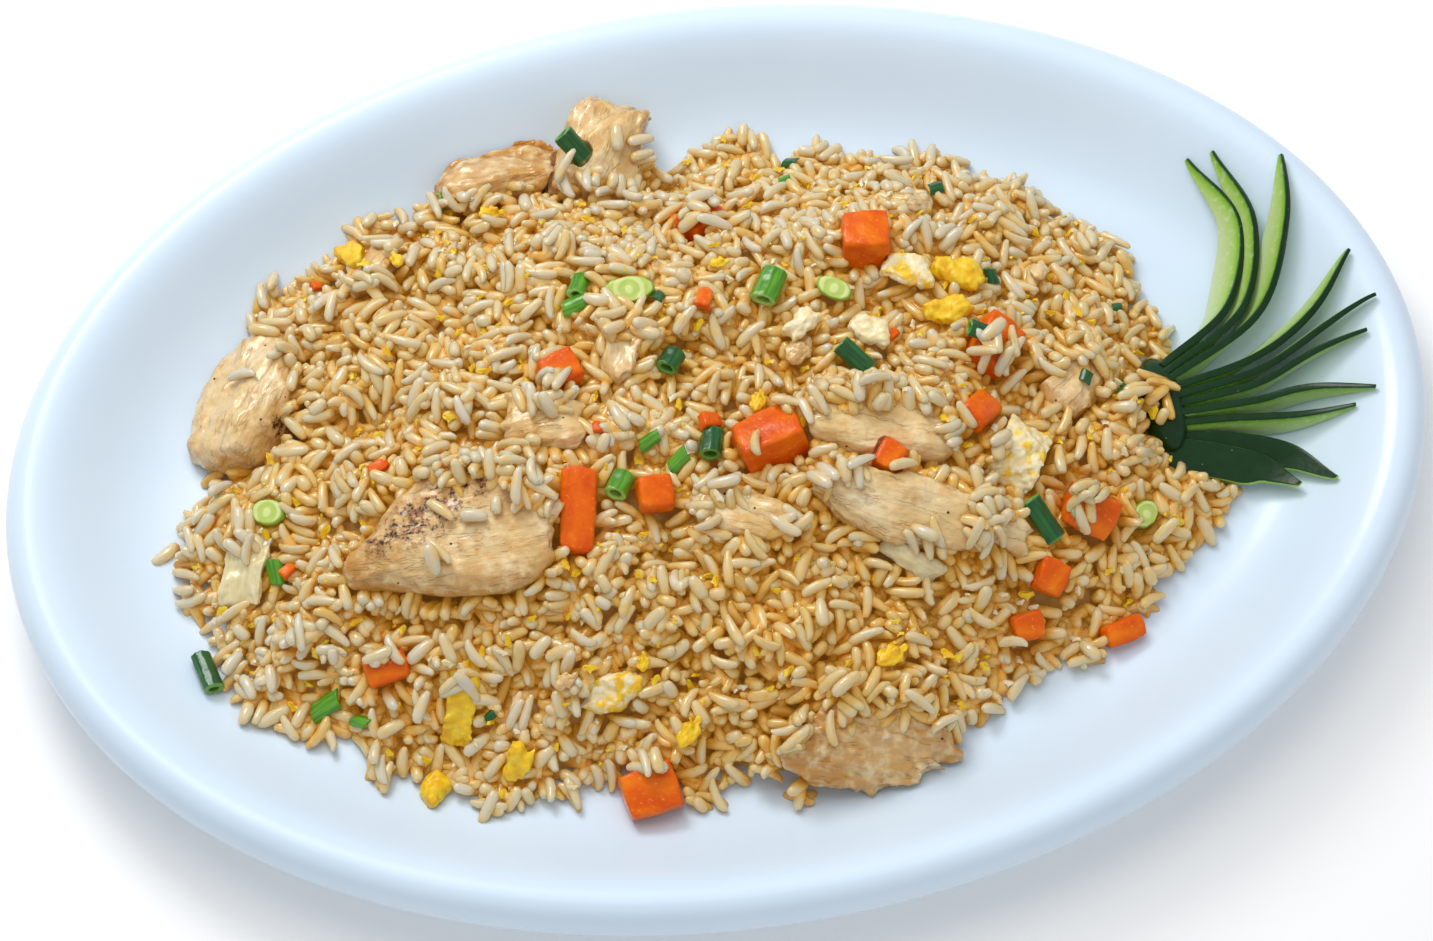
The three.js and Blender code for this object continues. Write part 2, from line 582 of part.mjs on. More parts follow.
const plateful = new THREE.Group();
const platterSolid = toSolid(platterShape());
pieces.unshift({ name: 'platter', food: 'porcelain', origin: new THREE.Vector3(), solid: platterSolid });
for (const { name, food, origin, solid } of pieces) {
  const geometry = toGeometry(largestBody(solid));
  geometry.translate(-origin.x, -origin.y, -origin.z);
  const mesh = new THREE.Mesh(geometry, new THREE.MeshStandardMaterial(foods[food]));
  mesh.name = name;
  mesh.position.copy(origin);
  plateful.add(mesh);
}

export default plateful;
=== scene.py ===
import math

import bmesh
import bpy
import numpy as np
from mathutils import Matrix, Vector


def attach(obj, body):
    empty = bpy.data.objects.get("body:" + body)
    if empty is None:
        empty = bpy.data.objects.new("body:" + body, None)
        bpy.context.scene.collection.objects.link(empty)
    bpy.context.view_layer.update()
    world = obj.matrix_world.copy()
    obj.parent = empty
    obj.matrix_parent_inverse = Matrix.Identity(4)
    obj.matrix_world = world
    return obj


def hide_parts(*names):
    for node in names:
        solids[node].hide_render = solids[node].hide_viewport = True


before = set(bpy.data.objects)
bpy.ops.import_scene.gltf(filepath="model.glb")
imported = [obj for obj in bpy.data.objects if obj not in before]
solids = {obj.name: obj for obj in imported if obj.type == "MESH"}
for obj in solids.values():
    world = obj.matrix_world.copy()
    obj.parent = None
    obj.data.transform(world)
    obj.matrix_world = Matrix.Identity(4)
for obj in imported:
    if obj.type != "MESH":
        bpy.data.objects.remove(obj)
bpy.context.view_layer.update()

mm = 0.001
draw = np.random.default_rng(21)
scene = bpy.context.scene


# Materials

def tone(red, green, blue):
    # a colour as a picture shows it, from 0 to 255, made linear
    def linear(value):
        value = value / 255
        return value / 12.92 if value <= 0.04045 else ((value + 0.055) / 1.055) ** 2.4
    return (linear(red), linear(green), linear(blue), 1)


class Wire:
    # one output of a shader node, so that shader maths can be written as sums
    def __init__(self, paint, socket):
        self.paint = paint
        self.socket = socket

    def maths(self, operation, first, second):
        return self.paint.node("Math", {"operation": operation}, {0: first, 1: second})

    def __add__(self, other):
        return self.maths("ADD", self, other)

    def __radd__(self, other):
        return self.maths("ADD", other, self)

    def __sub__(self, other):
        return self.maths("SUBTRACT", self, other)

    def __rsub__(self, other):
        return self.maths("SUBTRACT", other, self)

    def __mul__(self, other):
        return self.maths("MULTIPLY", self, other)

    def __rmul__(self, other):
        return self.maths("MULTIPLY", other, self)

    def __gt__(self, other):
        return self.maths("GREATER_THAN", self, other)

    def __lt__(self, other):
        return self.maths("LESS_THAN", self, other)


class Paint:
    def __init__(self, name, finish):
        self.material = bpy.data.materials.new(name)
        self.material.use_nodes = True
        self.tree = self.material.node_tree
        self.shader = self.tree.nodes["Principled BSDF"]
        self.dress(finish)

    def plug(self, values, made):
        for key, value in values.items():
            if isinstance(value, Wire):
                self.tree.links.new(value.socket, made.inputs[key])
            else:
                made.inputs[key].default_value = value

    def dress(self, values):
        # sets or links the surface's own sockets
        self.plug(values, self.shader)
        return self.material

    def node(self, kind, settings, values, output=0):
        made = self.tree.nodes.new("ShaderNode" + kind)
        for key, value in settings.items():
            if key == "stops":
                ramp = made.color_ramp.elements
                while len(ramp) < len(value):
                    ramp.new(0.5)
                for stop, (place, colour) in zip(ramp, value):
                    stop.position = place
                    stop.color = colour
            else:
                setattr(made, key, value)
        self.plug(values, made)
        return Wire(self, made.outputs[output])

    def place(self, attribute=None):
        if attribute:
            return self.node("Attribute", {"attribute_name": attribute}, {}, "Vector")
        return self.node("TexCoord", {}, {}, "Object")

    def share(self, attribute):
        return self.node("Attribute", {"attribute_name": attribute}, {}, "Fac")

    def noise(self, place, size, detail=2, roughness=0.5):
        values = {"Vector": place, "Scale": 1 / (size * mm), "Detail": detail, "Roughness": roughness}
        return self.node("TexNoise", {}, values)

    def fibres(self, along, size, detail=2, roughness=0.5):
        # a noise in the piece's own directions, drawn out along its length
        place = self.node("Mapping", {}, {"Vector": self.place("own"), "Scale": (along, 1, 1)})
        return self.noise(place, size, detail, roughness)

    def cells(self, place, size):
        return self.node("TexVoronoi", {}, {"Vector": place, "Scale": 1 / (size * mm)}, "Distance")

    def between(self, value, low, high, to=(0, 1)):
        # 0 below low, 1 above high, or those in to
        values = {"Value": value, "From Min": low, "From Max": high, "To Min": to[0], "To Max": to[1]}
        return self.node("MapRange", {"interpolation_type": "SMOOTHSTEP"}, values)

    def mix(self, factor, first, second):
        return self.node("Mix", {"data_type": "RGBA"}, {0: factor, 6: first, 7: second}, 2)

    def ramp(self, value, *stops):
        return self.node("ValToRGB", {"stops": stops}, {"Fac": value})

    def relief(self, height, depth, under=None):
        values = {"Height": height, "Strength": 1, "Distance": depth * mm}
        if under:
            values["Normal"] = under
        return self.node("Bump", {}, values)

    def specks(self, place, size, reach, rarity):
        # small dots, in only some of the cells
        near = self.cells(place, size)
        shade = Wire(self, near.socket.node.outputs["Color"])
        chosen = self.node("SeparateColor", {}, {"Color": shade})
        return (near < reach) * (chosen > rarity)


def moist(gloss, depth, radius, coat=0.25, film=0.16, level=0.5):
    # the finish of wet or oily food: light goes a little way in, and a thin film shines
    return {
        "Roughness": gloss,
        "Subsurface Weight": depth,
        "Subsurface Radius": radius,
        "Subsurface Scale": mm,
        "Coat Weight": coat,
        "Coat Roughness": film,
        "Specular IOR Level": level,
    }


def glazePaint():
    paint = Paint("whiteGlaze", {"Coat Weight": 0.12, "Coat Roughness": 0.1})
    place = paint.place()
    cloud = paint.noise(place, 60, 3)
    colour = paint.mix(paint.between(cloud, 0.35, 0.7), (0.68, 0.815, 0.955, 1), (0.71, 0.835, 0.965, 1))
    smear = paint.between(paint.noise(place, 9, 4), 0.45, 0.75, (0.3, 0.38))
    return paint.dress({"Base Color": colour, "Roughness": smear})


def grainPaint():
    # half see-through under a milky shine; where the grains lie deep their colour is darkened and turned
    # amber as painted shade, and their tint and blotches are sauce stains
    paint = Paint("riceGrain", moist(0.3, 0.7, (2.4, 1.5, 0.6), 1.0, 0.09, 0.32))
    paint.shader.subsurface_method = "BURLEY"
    place = paint.place()
    streak = paint.fibres(0.3, 1.1)
    blotch = paint.between(paint.noise(place, 4, 2), 0.45, 0.72, (0, 0.3))
    # deep is painted shade in the hollows; tint and blotch are sauce stains, the broad browned patches in
    # tint also painted shade
    sauceAndHollowShade = paint.share("deep") + paint.share("tint") + blotch - paint.between(streak, 0.4, 0.75, (0, 0.14))
    colour = paint.ramp(
        sauceAndHollowShade,
        (0.0, tone(208, 199, 176)), (0.25, tone(215, 195, 149)), (0.5, tone(219, 186, 117)),
        (0.75, tone(216, 171, 82)), (1.0, tone(196, 142, 50)),
    )
    # painted glow: an emission where the grains lie deep, standing in for light that has come through the
    # grains around
    glow = paint.ramp(paint.share("deep"), (0.0, (0.008, 0.005, 0, 1)), (0.8, (0.066, 0.031, 0.001, 1)))
    paint.dress({"Emission Color": glow, "Emission Strength": 1})
    gloss = paint.between(streak, 0.35, 0.7, (0.28, 0.44))
    return paint.dress({"Base Color": colour, "Roughness": gloss, "Normal": paint.relief(streak, 0.25)})


def hollowPaint():
    # what shows between the grains: more rice, coloured darker amber as painted shade in the gaps, with a
    # faint emission as a painted glow
    paint = Paint("riceHollow", moist(0.5, 0, (1.6, 0.8, 0.3), 0.1))
    place = paint.place()
    colour = paint.mix(paint.noise(place, 4, 3), tone(194, 146, 68), tone(212, 172, 100))
    paint.dress({"Emission Color": (0.03, 0.015, 0.002, 1), "Emission Strength": 1})
    bump = paint.relief(paint.cells(place, 2.6), 1.2)
    return paint.dress({"Base Color": colour, "Normal": bump})


def chickenPaint():
    paint = Paint("chickenMeat", moist(0.38, 0.35, (2.2, 1.3, 0.7), 0.8, 0.13))
    place = paint.place()
    fibres = paint.fibres(0.16, 1.3, 3)
    cloud = paint.noise(place, 9, 4)
    colour = paint.ramp(
        cloud,
        (0.3, tone(222, 184, 116)), (0.5, tone(237, 210, 154)), (0.7, tone(244, 228, 190)),
    )
    colour = paint.mix(paint.between(fibres, 0.5, 0.75, (0, 0.25)), colour, tone(206, 160, 92))
    golden = paint.between(paint.noise(place, 4.5, 4), 0.5, 0.68, (0, 0.6))
    colour = paint.mix(golden, colour, tone(218, 160, 62))
    strands = paint.fibres(0.22, 4.2, 4, 0.55)
    beside = paint.node("Math", {"operation": "ABSOLUTE"}, {0: strands - 0.5})
    shadedSeam = paint.between(beside, 0, 0.03, (1, 0)) * paint.between(paint.noise(place, 6, 2), 0.4, 0.6)
    # thin seams between the strands, pressed in by the bump and darkened in colour as painted shade
    colour = paint.mix(shadedSeam * 0.2, colour, tone(196, 146, 80))
    edge = paint.share("brown") * paint.between(paint.noise(place, 3, 4), 0.25, 0.6)
    colour = paint.mix(edge, colour, tone(198, 138, 50))
    sear = paint.share("sear") * paint.between(paint.noise(place, 2.6, 4, 0.6), 0.42, 0.58)
    colour = paint.mix(sear, colour, tone(160, 96, 44))
    char = sear * paint.between(paint.noise(place, 0.9, 3, 0.7), 0.5, 0.57, (0, 1.6))
    colour = paint.mix(char, colour, tone(50, 26, 14))
    colour = paint.mix(paint.specks(place, 3.5, 0.1, 0.8), colour, tone(58, 38, 22))
    bump = paint.relief(fibres, 0.5)
    bump = paint.relief(paint.noise(place, 2.4, 4), 0.6, bump)
    bump = paint.relief(1 - shadedSeam, 0.3, bump)
    gloss = paint.between(cloud, 0.35, 0.7, (0.3, 0.52))
    return paint.dress({"Base Color": colour, "Roughness": gloss, "Normal": bump})


def carrotPaint():
    paint = Paint("carrotFlesh", moist(0.3, 0.3, (2.0, 0.7, 0.2), 0.15, level=0.22))
    place = paint.place()
    colour = paint.ramp(
        paint.fibres(0.5, 4, 3),
        (0.3, tone(216, 80, 0)), (0.55, tone(230, 104, 0)), (0.75, tone(240, 128, 8)),
    )
    fleck = paint.between(paint.noise(place, 0.9, 2), 0.62, 0.72, (0, 0.5))
    colour = paint.mix(fleck, colour, tone(250, 160, 78))
    bump = paint.relief(paint.noise(place, 1.1, 3), 0.22)
    return paint.dress({"Base Color": colour, "Normal": bump})


def leafPaint(name, dark, light, edge):
    # scallion: ribs along the piece, paler on cut and inner faces
    paint = Paint(name, moist(0.3, 0.2, (0.6, 1.2, 0.3), 0.4))
    ribs = paint.fibres(0.08, 0.7)
    colour = paint.mix(paint.between(ribs, 0.25, 0.75), dark, light)
    colour = paint.mix(paint.share("inner"), colour, edge)
    bump = paint.relief(ribs, 0.1)
    return paint.dress({"Base Color": colour, "Normal": bump})


def slicePaint():
    paint = Paint("scallionStalk", moist(0.3, 0.4, (0.9, 1.3, 0.5), 0.4))
    rings = paint.node(
        "TexWave", {"wave_type": "RINGS", "rings_direction": "SPHERICAL"},
        {"Vector": paint.place("own"), "Scale": 130, "Distortion": 2.5, "Detail": 2},
    )
    colour = paint.mix(paint.between(rings, 0.3, 0.8), tone(188, 208, 104), tone(216, 226, 150))
    colour = paint.mix(paint.share("inner"), tone(128, 176, 40), colour)
    return paint.dress({"Base Color": colour, "Normal": paint.relief(rings, 0.15)})


def eggPaint():
    paint = Paint("eggCurd", moist(0.4, 0.25, (1.8, 1.2, 0.3), 0.25))
    place = paint.place()
    yolk = paint.ramp(
        paint.noise(place, 3, 3),
        (0.3, tone(232, 172, 8)), (0.55, tone(246, 202, 22)), (0.8, tone(252, 222, 80)),
    )
    white = paint.ramp(paint.noise(place, 2.5, 3), (0.3, tone(238, 214, 150)), (0.7, tone(248, 238, 206)))
    share = paint.share("white") + paint.noise(place, 3.4, 3) - 0.5
    colour = paint.mix(paint.between(share, 0.42, 0.58), yolk, white)
    bump = paint.relief(paint.noise(place, 1.5, 4), 0.5)
    return paint.dress({"Base Color": colour, "Normal": bump})


def onionPaint():
    paint = Paint("onionLayer", moist(0.25, 0.6, (2.0, 1.6, 0.9), 0.5))
    veins = paint.fibres(0.1, 1.0)
    colour = paint.mix(paint.between(veins, 0.3, 0.8), tone(222, 204, 152), tone(234, 222, 182))
    return paint.dress({"Base Color": colour, "Normal": paint.relief(veins, 0.15)})


def cucumberPaint():
    paint = Paint("cucumberSlice", moist(0.26, 0.15, (0.6, 1.3, 0.5), 0.1, level=0.3))
    place = paint.place()
    depth = paint.share("fleshDepth")
    skin = paint.mix(paint.noise(place, 3, 3), tone(8, 40, 14), tone(20, 62, 22))
    skin = paint.mix(paint.specks(place, 1.6, 0.1, 0.9), skin, tone(120, 140, 110))
    flesh = paint.ramp(
        depth,
        (0.0, tone(24, 66, 24)), (0.045, tone(44, 104, 20)), (0.09, tone(120, 170, 44)),
        (0.25, tone(160, 196, 92)), (0.55, tone(184, 206, 138)), (1.0, tone(200, 218, 180)),
    )
    grain = paint.noise(place, 1.8, 3)
    flesh = paint.mix(paint.between(grain, 0.5, 0.8, (0, 0.35)), flesh, tone(226, 238, 206))
    colour = paint.mix(paint.between(depth, 0.02, 0.05), skin, flesh)
    gloss = paint.between(depth, 0.02, 0.06, (0.32, 0.4))
    bump = paint.relief(grain, 0.1)
    return paint.dress({"Base Color": colour, "Roughness": gloss, "Normal": bump})


meat = chickenPaint()
carrot = carrotPaint()
darkLeaf = leafPaint("scallionDark", tone(10, 62, 20), tone(26, 104, 34), tone(110, 160, 60))
brightLeaf = leafPaint("scallionBright", tone(52, 122, 14), tone(106, 168, 36), tone(170, 204, 96))
stalk = slicePaint()
egg = eggPaint()
onion = onionPaint()


# Handling pieces

def activate(piece):
    bpy.ops.object.select_all(action="DESELECT")
    piece.select_set(True)
    bpy.context.view_layer.objects.active = piece


def settlePlace(piece):
    activate(piece)
    bpy.ops.object.transform_apply(location=True, rotation=True, scale=True)


def named(name, size=(1, 1, 1)):
    # the primitive that was just added, brought to its size
    piece = bpy.context.object
    piece.name = name
    piece.scale = size
    settlePlace(piece)
    return piece


def pointsOf(piece):
    flat = np.empty(len(piece.data.vertices) * 3)
    piece.data.vertices.foreach_get("co", flat)
    return flat.reshape(-1, 3) / mm


def setPoints(piece, points):
    piece.data.vertices.foreach_set("co", (np.asarray(points) * mm).ravel())
    piece.data.update()


def trianglesOf(piece):
    piece.data.calc_loop_triangles()
    corners = np.empty(len(piece.data.loop_triangles) * 3, int)
    piece.data.loop_triangles.foreach_get("vertices", corners)
    return corners.reshape(-1, 3)


def giveShare(piece, name, values):
    made = piece.data.attributes.new(name, "FLOAT", "POINT")
    made.data.foreach_set("value", np.zeros(len(made.data), np.float32) + np.float32(values))


def giveVectors(piece, name, vectors):
    made = piece.data.attributes.new(name, "FLOAT_VECTOR", "POINT")
    made.data.foreach_set("vector", np.asarray(vectors, dtype=np.float32).ravel())


def change(piece, kind, **settings):
    activate(piece)
    modifier = piece.modifiers.new(kind, kind)
    for key, value in settings.items():
        setattr(modifier, key, value)
    bpy.ops.object.modifier_apply(modifier=modifier.name)


def pick(piece, test):
    # in edit mode, selects the vertices whose place passes the test
    shape = bmesh.from_edit_mesh(piece.data)
    bpy.ops.mesh.select_all(action="DESELECT")
    for vertex in shape.verts:
        vertex.select_set(bool(test(vertex.co / mm)))
    shape.select_flush(True)
    bmesh.update_edit_mesh(piece.data)


def resizeWhere(piece, test, factors, about=(0, 0, 0)):
    pick(piece, test)
    bpy.ops.transform.resize(value=factors, center_override=about)


def moveWhere(piece, test, move):
    pick(piece, test)
    bpy.ops.transform.translate(value=move)


def copyOf(node, name):
    # the solid's own mesh in one skin, as a new piece
    piece = bpy.data.objects.new(name, solids[node].data.copy())
    scene.collection.objects.link(piece)
    piece.data.materials.clear()
    activate(piece)
    bpy.ops.object.mode_set(mode="EDIT")
    bpy.ops.mesh.select_all(action="SELECT")
    bpy.ops.mesh.remove_doubles(threshold=0.005 * mm)
    bpy.ops.object.mode_set(mode="OBJECT")
    return piece


def finishPiece(piece, material, slot, *replaced):
    activate(piece)
    piece.data.materials.clear()
    piece.data.materials.append(material)
    bpy.ops.object.shade_smooth_by_angle(angle=math.radians(50))
    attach(piece, "root")
    if replaced:
        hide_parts(*replaced)


upright = (np.zeros(3), np.eye(3))


def lieOf(piece):
    # how a piece lies: its middle, and its long, broad and thin directions
    points = pointsOf(piece)
    middle = points.mean(0)
    axes = np.linalg.svd(points - middle, full_matrices=False)[2]
    if np.linalg.det(axes) < 0:
        axes[2] *= -1
    return middle, axes


def giveOwn(piece, lie):
    middle, axes = lie
    own = (pointsOf(piece) - middle) @ axes.T
    giveVectors(piece, "own", own * mm)
    return own


def roughen(piece, lie, size, depth, along=1.0, detail=2, basis="BLENDER_ORIGINAL"):
    # pushes the skin in and out with clouds as large as size, longer along the piece
    middle, axes = lie
    ruler = bpy.data.objects.new("ruler", None)
    scene.collection.objects.link(ruler)
    turned = Matrix(axes.T.tolist()).to_4x4()
    stretched = Matrix.Diagonal((size * along * mm, size * mm, size * mm, 1))
    ruler.matrix_world = Matrix.Translation(Vector(middle) * mm) @ turned @ stretched
    clouds = bpy.data.textures.new("clouds", "CLOUDS")
    clouds.noise_scale = 1
    clouds.noise_depth = detail
    clouds.noise_basis = basis
    bpy.context.view_layer.update()
    change(piece, "DISPLACE", texture=clouds, texture_coords="OBJECT", texture_coords_object=ruler,
           strength=depth * mm, mid_level=0.5)
    bpy.data.objects.remove(ruler)


# Camera, floor and light

print("camera, floor and light")
viewpoint = {"azimuth": -10.3, "elevation": 63.7, "distance": 855, "lens": 84.26}
photo = {"width": 1433, "right": 5.4, "down": 5.1}  # pixels, and how far its middle is off the platter's


def makeCamera():
    azimuth = math.radians(viewpoint["azimuth"])
    elevation = math.radians(viewpoint["elevation"])
    away = Vector((
        math.sin(azimuth) * math.cos(elevation),
        -math.cos(azimuth) * math.cos(elevation),
        math.sin(elevation),
    ))
    bpy.ops.object.camera_add(location=away * viewpoint["distance"] * mm)
    camera = bpy.context.object
    camera.rotation_euler = (math.pi / 2 - elevation, 0, azimuth)
    camera.data.sensor_width = 36
    camera.data.lens = viewpoint["lens"]
    camera.data.shift_x = -photo["right"] / photo["width"]
    camera.data.shift_y = photo["down"] / photo["width"]
    camera.data.clip_start = 0.05
    scene.camera = camera


# the key and the fill don't shine back, so the window alone makes the wet highlights
studio = {
    "floor": {"Base Color": (0.94, 0.94, 0.94, 1), "Roughness": 0.9, "Specular IOR Level": 0.1,
              "Emission Color": (1, 1, 1, 1), "Emission Strength": 0.08},
    "floorSize": 6, "floorDrop": 0.4,
    "sky": 0.485, "skyColour": (0.97, 0.985, 1, 1),
    "key": {"place": (-60, 160, 745), "size": 600, "power": 1.93, "shines": False},
    "fill": {"place": (60, -600, 540), "size": 620, "power": 0.5, "shines": False},
    "window": {"place": (-190, 520, 600), "size": 350, "power": 2.75, "shines": True},
}


def makeStudio():
    bpy.ops.mesh.primitive_plane_add(size=studio["floorSize"], location=(0, 0, -studio["floorDrop"] * mm))
    floor = bpy.context.object
    floor.name = "paleFloor"
    floor.data.materials.append(Paint("paleFloor", studio["floor"]).material)
    world = bpy.data.worlds.new("softRoom")
    scene.world = world
    world.use_nodes = True
    sky = world.node_tree.nodes["Background"]
    sky.inputs["Color"].default_value = studio["skyColour"]
    sky.inputs["Strength"].default_value = studio["sky"]
    for name in ("key", "fill", "window"):
        lamp = studio[name]
        place = Vector(lamp["place"]) * mm
        bpy.ops.object.light_add(type="AREA", location=place)
        light = bpy.context.object
        light.name = name
        light.data.shape = "DISK"
        light.data.size = lamp["size"] * mm
        light.data.energy = lamp["power"]
        light.visible_glossy = lamp["shines"]
        light.rotation_euler = place.to_track_quat("Z", "Y").to_euler()
    scene.view_settings.view_transform = "Standard"


makeCamera()
makeStudio()


# Platter: level lines are ellipses, in the floor's proportion up to its edge and evenly wider beyond

print("platter")
platter = {
    "length": 356, "width": 254, "floorLength": 262, "floorWidth": 160, "floorTop": 6.5,
    "floorUnderside": 1.6, "flatShare": 0.94,
    "footReach": 116, "footThickness": 5, "footFlare": 2, "footRound": 0.3, "footEase": 0.5,
    "crestReach": 172, "crestHeight": 27, "lipDrop": 7, "lipBottom": 17.5, "wall": 4.5, "wallCurve": 1.6,
    "underside": (124, 131, 138, 143, 148, 153, 158, 162, 166), "undersideLead": 4,
    "sides": 168, "wallSteps": 16,
    "lipTurns": (118, 105, 92, 80, 68, 56, 44, 33, 22, 11), "lipWidest": 80,
}
floorReach = platter["floorLength"] / 2
lengthLead = (platter["length"] - platter["width"]) / 2


def acrossOf(reach):
    return np.maximum(reach * platter["floorWidth"] / platter["floorLength"], reach - lengthLead)


def smooth(value):
    value = np.clip(value, 0, 1)
    return value * value * (3 - 2 * value)


def wallHeight(reach):
    along = np.clip((reach - floorReach) / (platter["crestReach"] - floorReach), 0, 1)
    rise = platter["crestHeight"] - platter["floorTop"]
    return platter["floorTop"] + rise * smooth(along ** platter["wallCurve"])


def platterTop(x, y):
    inside = np.zeros_like(x)
    outside = np.full_like(x, platter["length"])
    for halving in range(26):
        reach = (inside + outside) / 2
        isPast = np.hypot(x / reach, y / acrossOf(reach)) > 1
        inside = np.where(isPast, reach, inside)
        outside = np.where(isPast, outside, reach)
    return wallHeight(np.minimum(inside, platter["crestReach"]))


def platterProfile():
    crest, foot = platter["crestReach"], platter["footReach"]
    innerFoot = foot - platter["footThickness"]
    rounding, ease = platter["footRound"], platter["footEase"]
    profile = [
        (innerFoot - platter["footFlare"], platter["floorUnderside"]),
        (innerFoot - rounding, rounding), (innerFoot + ease, 0),
        (foot - ease, 0), (foot + rounding, rounding),
        (foot + platter["footFlare"], platter["floorTop"] - platter["wall"]),
    ]
    for reach in platter["underside"]:
        profile.append((reach, float(wallHeight(reach - platter["undersideLead"])) - platter["wall"]))
    profile.append((crest, platter["lipBottom"]))
    lipReach = platter["length"] / 2 - crest
    for turn in platter["lipTurns"]:
        angle = math.radians(turn)
        out = min(math.sin(angle) / math.sin(math.radians(platter["lipWidest"])), 1)
        height = platter["crestHeight"] - platter["lipDrop"] * (1 - math.cos(angle))
        profile.append((crest + lipReach * out, height))
    for step in range(platter["wallSteps"], -1, -1):
        reach = floorReach + (crest - floorReach) * step / platter["wallSteps"]
        profile.append((reach, float(wallHeight(reach))))
    profile.append((floorReach * platter["flatShare"], platter["floorTop"]))
    return profile


def makePlatter():
    profile = platterProfile()
    reach, height = profile[0]
    bpy.ops.mesh.primitive_circle_add(vertices=platter["sides"], radius=1, fill_type="NGON",
                                      location=(0, 0, height * mm))
    piece = named("glazedPlatter", (reach * mm, float(acrossOf(reach)) * mm, 1))
    bpy.ops.object.mode_set(mode="EDIT")
    bpy.ops.mesh.select_all(action="SELECT")
    bpy.ops.mesh.poke()
    pick(piece, lambda place: place.length > 1 and abs(place.x) + abs(place.y) > 1)
    for before, after in zip(profile, profile[1:]):
        bpy.ops.mesh.extrude_edges_move(
            TRANSFORM_OT_translate={"value": (0, 0, (after[1] - before[1]) * mm)})
        across = float(acrossOf(after[0]) / acrossOf(before[0]))
        bpy.ops.transform.resize(value=(after[0] / before[0], across, 1), center_override=(0, 0, 0))
    bpy.ops.mesh.edge_face_add()
    bpy.ops.mesh.poke()
    bpy.ops.mesh.select_all(action="SELECT")
    bpy.ops.mesh.normals_make_consistent(inside=False)
    bpy.ops.object.mode_set(mode="OBJECT")
    finishPiece(piece, glazePaint(), "porcelain", "platter")


makePlatter()


# Chicken

print("chicken")
chicken = {
    "seared": {"voxel": 0.8, "lumps": 1.4, "layers": 1.3, "fibres": 0.28, "brown": 0.55,
               "points": [((-1, -0.1), 0.62), ((1, 0.2), 0.2)],
               "tears": [((1, 0.25), 7, 5), ((0.6, 1), 3, 6)],
               "spots": [(-78, -17, 9), (-70, -14, 8), (-63, -11, 6), (-86, -19, 6), (-55, -8, 5)]},
    "left": {"voxel": 0.8, "lumps": 2.8, "layers": 2.0, "fibres": 0.4, "brown": 0.3,
             "points": [((-0.8, -0.6), 0.25)],
             "tears": [((-1, 0.2), 3, 9)], "spots": [(-108, 24, 4)]},
    "far_slab": {"voxel": 0.7, "lumps": 3.8, "layers": 2.2, "fibres": 0.8, "brown": 1.3,
                 "points": [((-1, -0.5), 0.5)],
                 "tears": [((-1, -0.5), 7, 6), ((0, 1), 2.5, 7)]},
    "far_hump": {"voxel": 0.7, "lumps": 2.6, "layers": 1.6, "fibres": 0.72, "brown": 0.3,
                 "tears": [((1, 0.3), 4, 6)]},
    "middle": {"voxel": 0.7, "lumps": 2.2, "layers": 1.0, "fibres": 0.48, "brown": 0.05,
               "tears": [((-1, 0.3), 4, 6)]},
    "long": {"voxel": 0.7, "lumps": 2.6, "layers": 1.8, "fibres": 0.56, "brown": 0.2,
             "points": [((-1, 0.3), 0.4)],
             "tears": [((1, -0.3), 3, 5), ((-1, 0.3), 3, 5)]},
    "torn": {"voxel": 0.6, "lumps": 2.6, "layers": 2.2, "fibres": 1.2, "brown": 1.4,
             "tears": [((0.9, -0.6), 9, 4.5), ((0.1, -1), 5, 4), ((-1, 0.1), 4, 5)]},
    "shreds": {"voxel": 0.5, "lumps": 2.2, "layers": 1.4, "fibres": 0.8, "brown": 0.2,
               "tears": [((1, 0.2), 4, 3), ((-1, 0), 3, 4)]},
    "strip": {"voxel": 0.5, "lumps": 1.8, "layers": 1.0, "fibres": 0.48, "brown": 0.3,
              "tears": [((1, -0.3), 3, 4)]},
    "browned": {"voxel": 0.5, "lumps": 1.8, "layers": 1.0, "fibres": 0.64, "brown": 0.9},
    "right": {"voxel": 0.5, "lumps": 2.2, "layers": 1.4, "fibres": 0.72, "brown": 0.5,
              "tears": [((1, 0), 3, 4), ((-1, 0.5), 3, 4)]},
    "right_low": {"voxel": 0.5, "lumps": 1.8, "layers": 1.0, "fibres": 0.64, "brown": 0.4,
                  "tears": [((1, -0.2), 3, 4)]},
    "flakes": {"voxel": 0.5, "lumps": 2.0, "layers": 1.2, "fibres": 0.8, "brown": 0.3,
               "tears": [((0, 1), 3, 3), ((0, -1), 3, 3)]},
}

# how large the three kinds of unevenness are, and how much longer along the piece
meatClouds = {
    "lumps": {"size": 9, "along": 1.3},
    "layers": {"size": 6, "along": 2.2, "detail": 1, "basis": "VORONOI_F2_F1"},
    "fibres": {"size": 2, "along": 4},
}


def sharpen(piece, middle, towards, share):
    # narrows the piece to a point on that side
    points = pointsOf(piece)
    outward = np.array(towards) / math.hypot(*towards)
    sideways = np.array([-outward[1], outward[0]])
    along = (points[:, :2] - middle[:2]) @ outward
    across = (points[:, :2] - middle[:2]) @ sideways
    narrowing = share * smooth(along / along.max()) ** 1.3
    points[:, :2] -= sideways * (across * narrowing)[:, None]
    setPoints(piece, points)


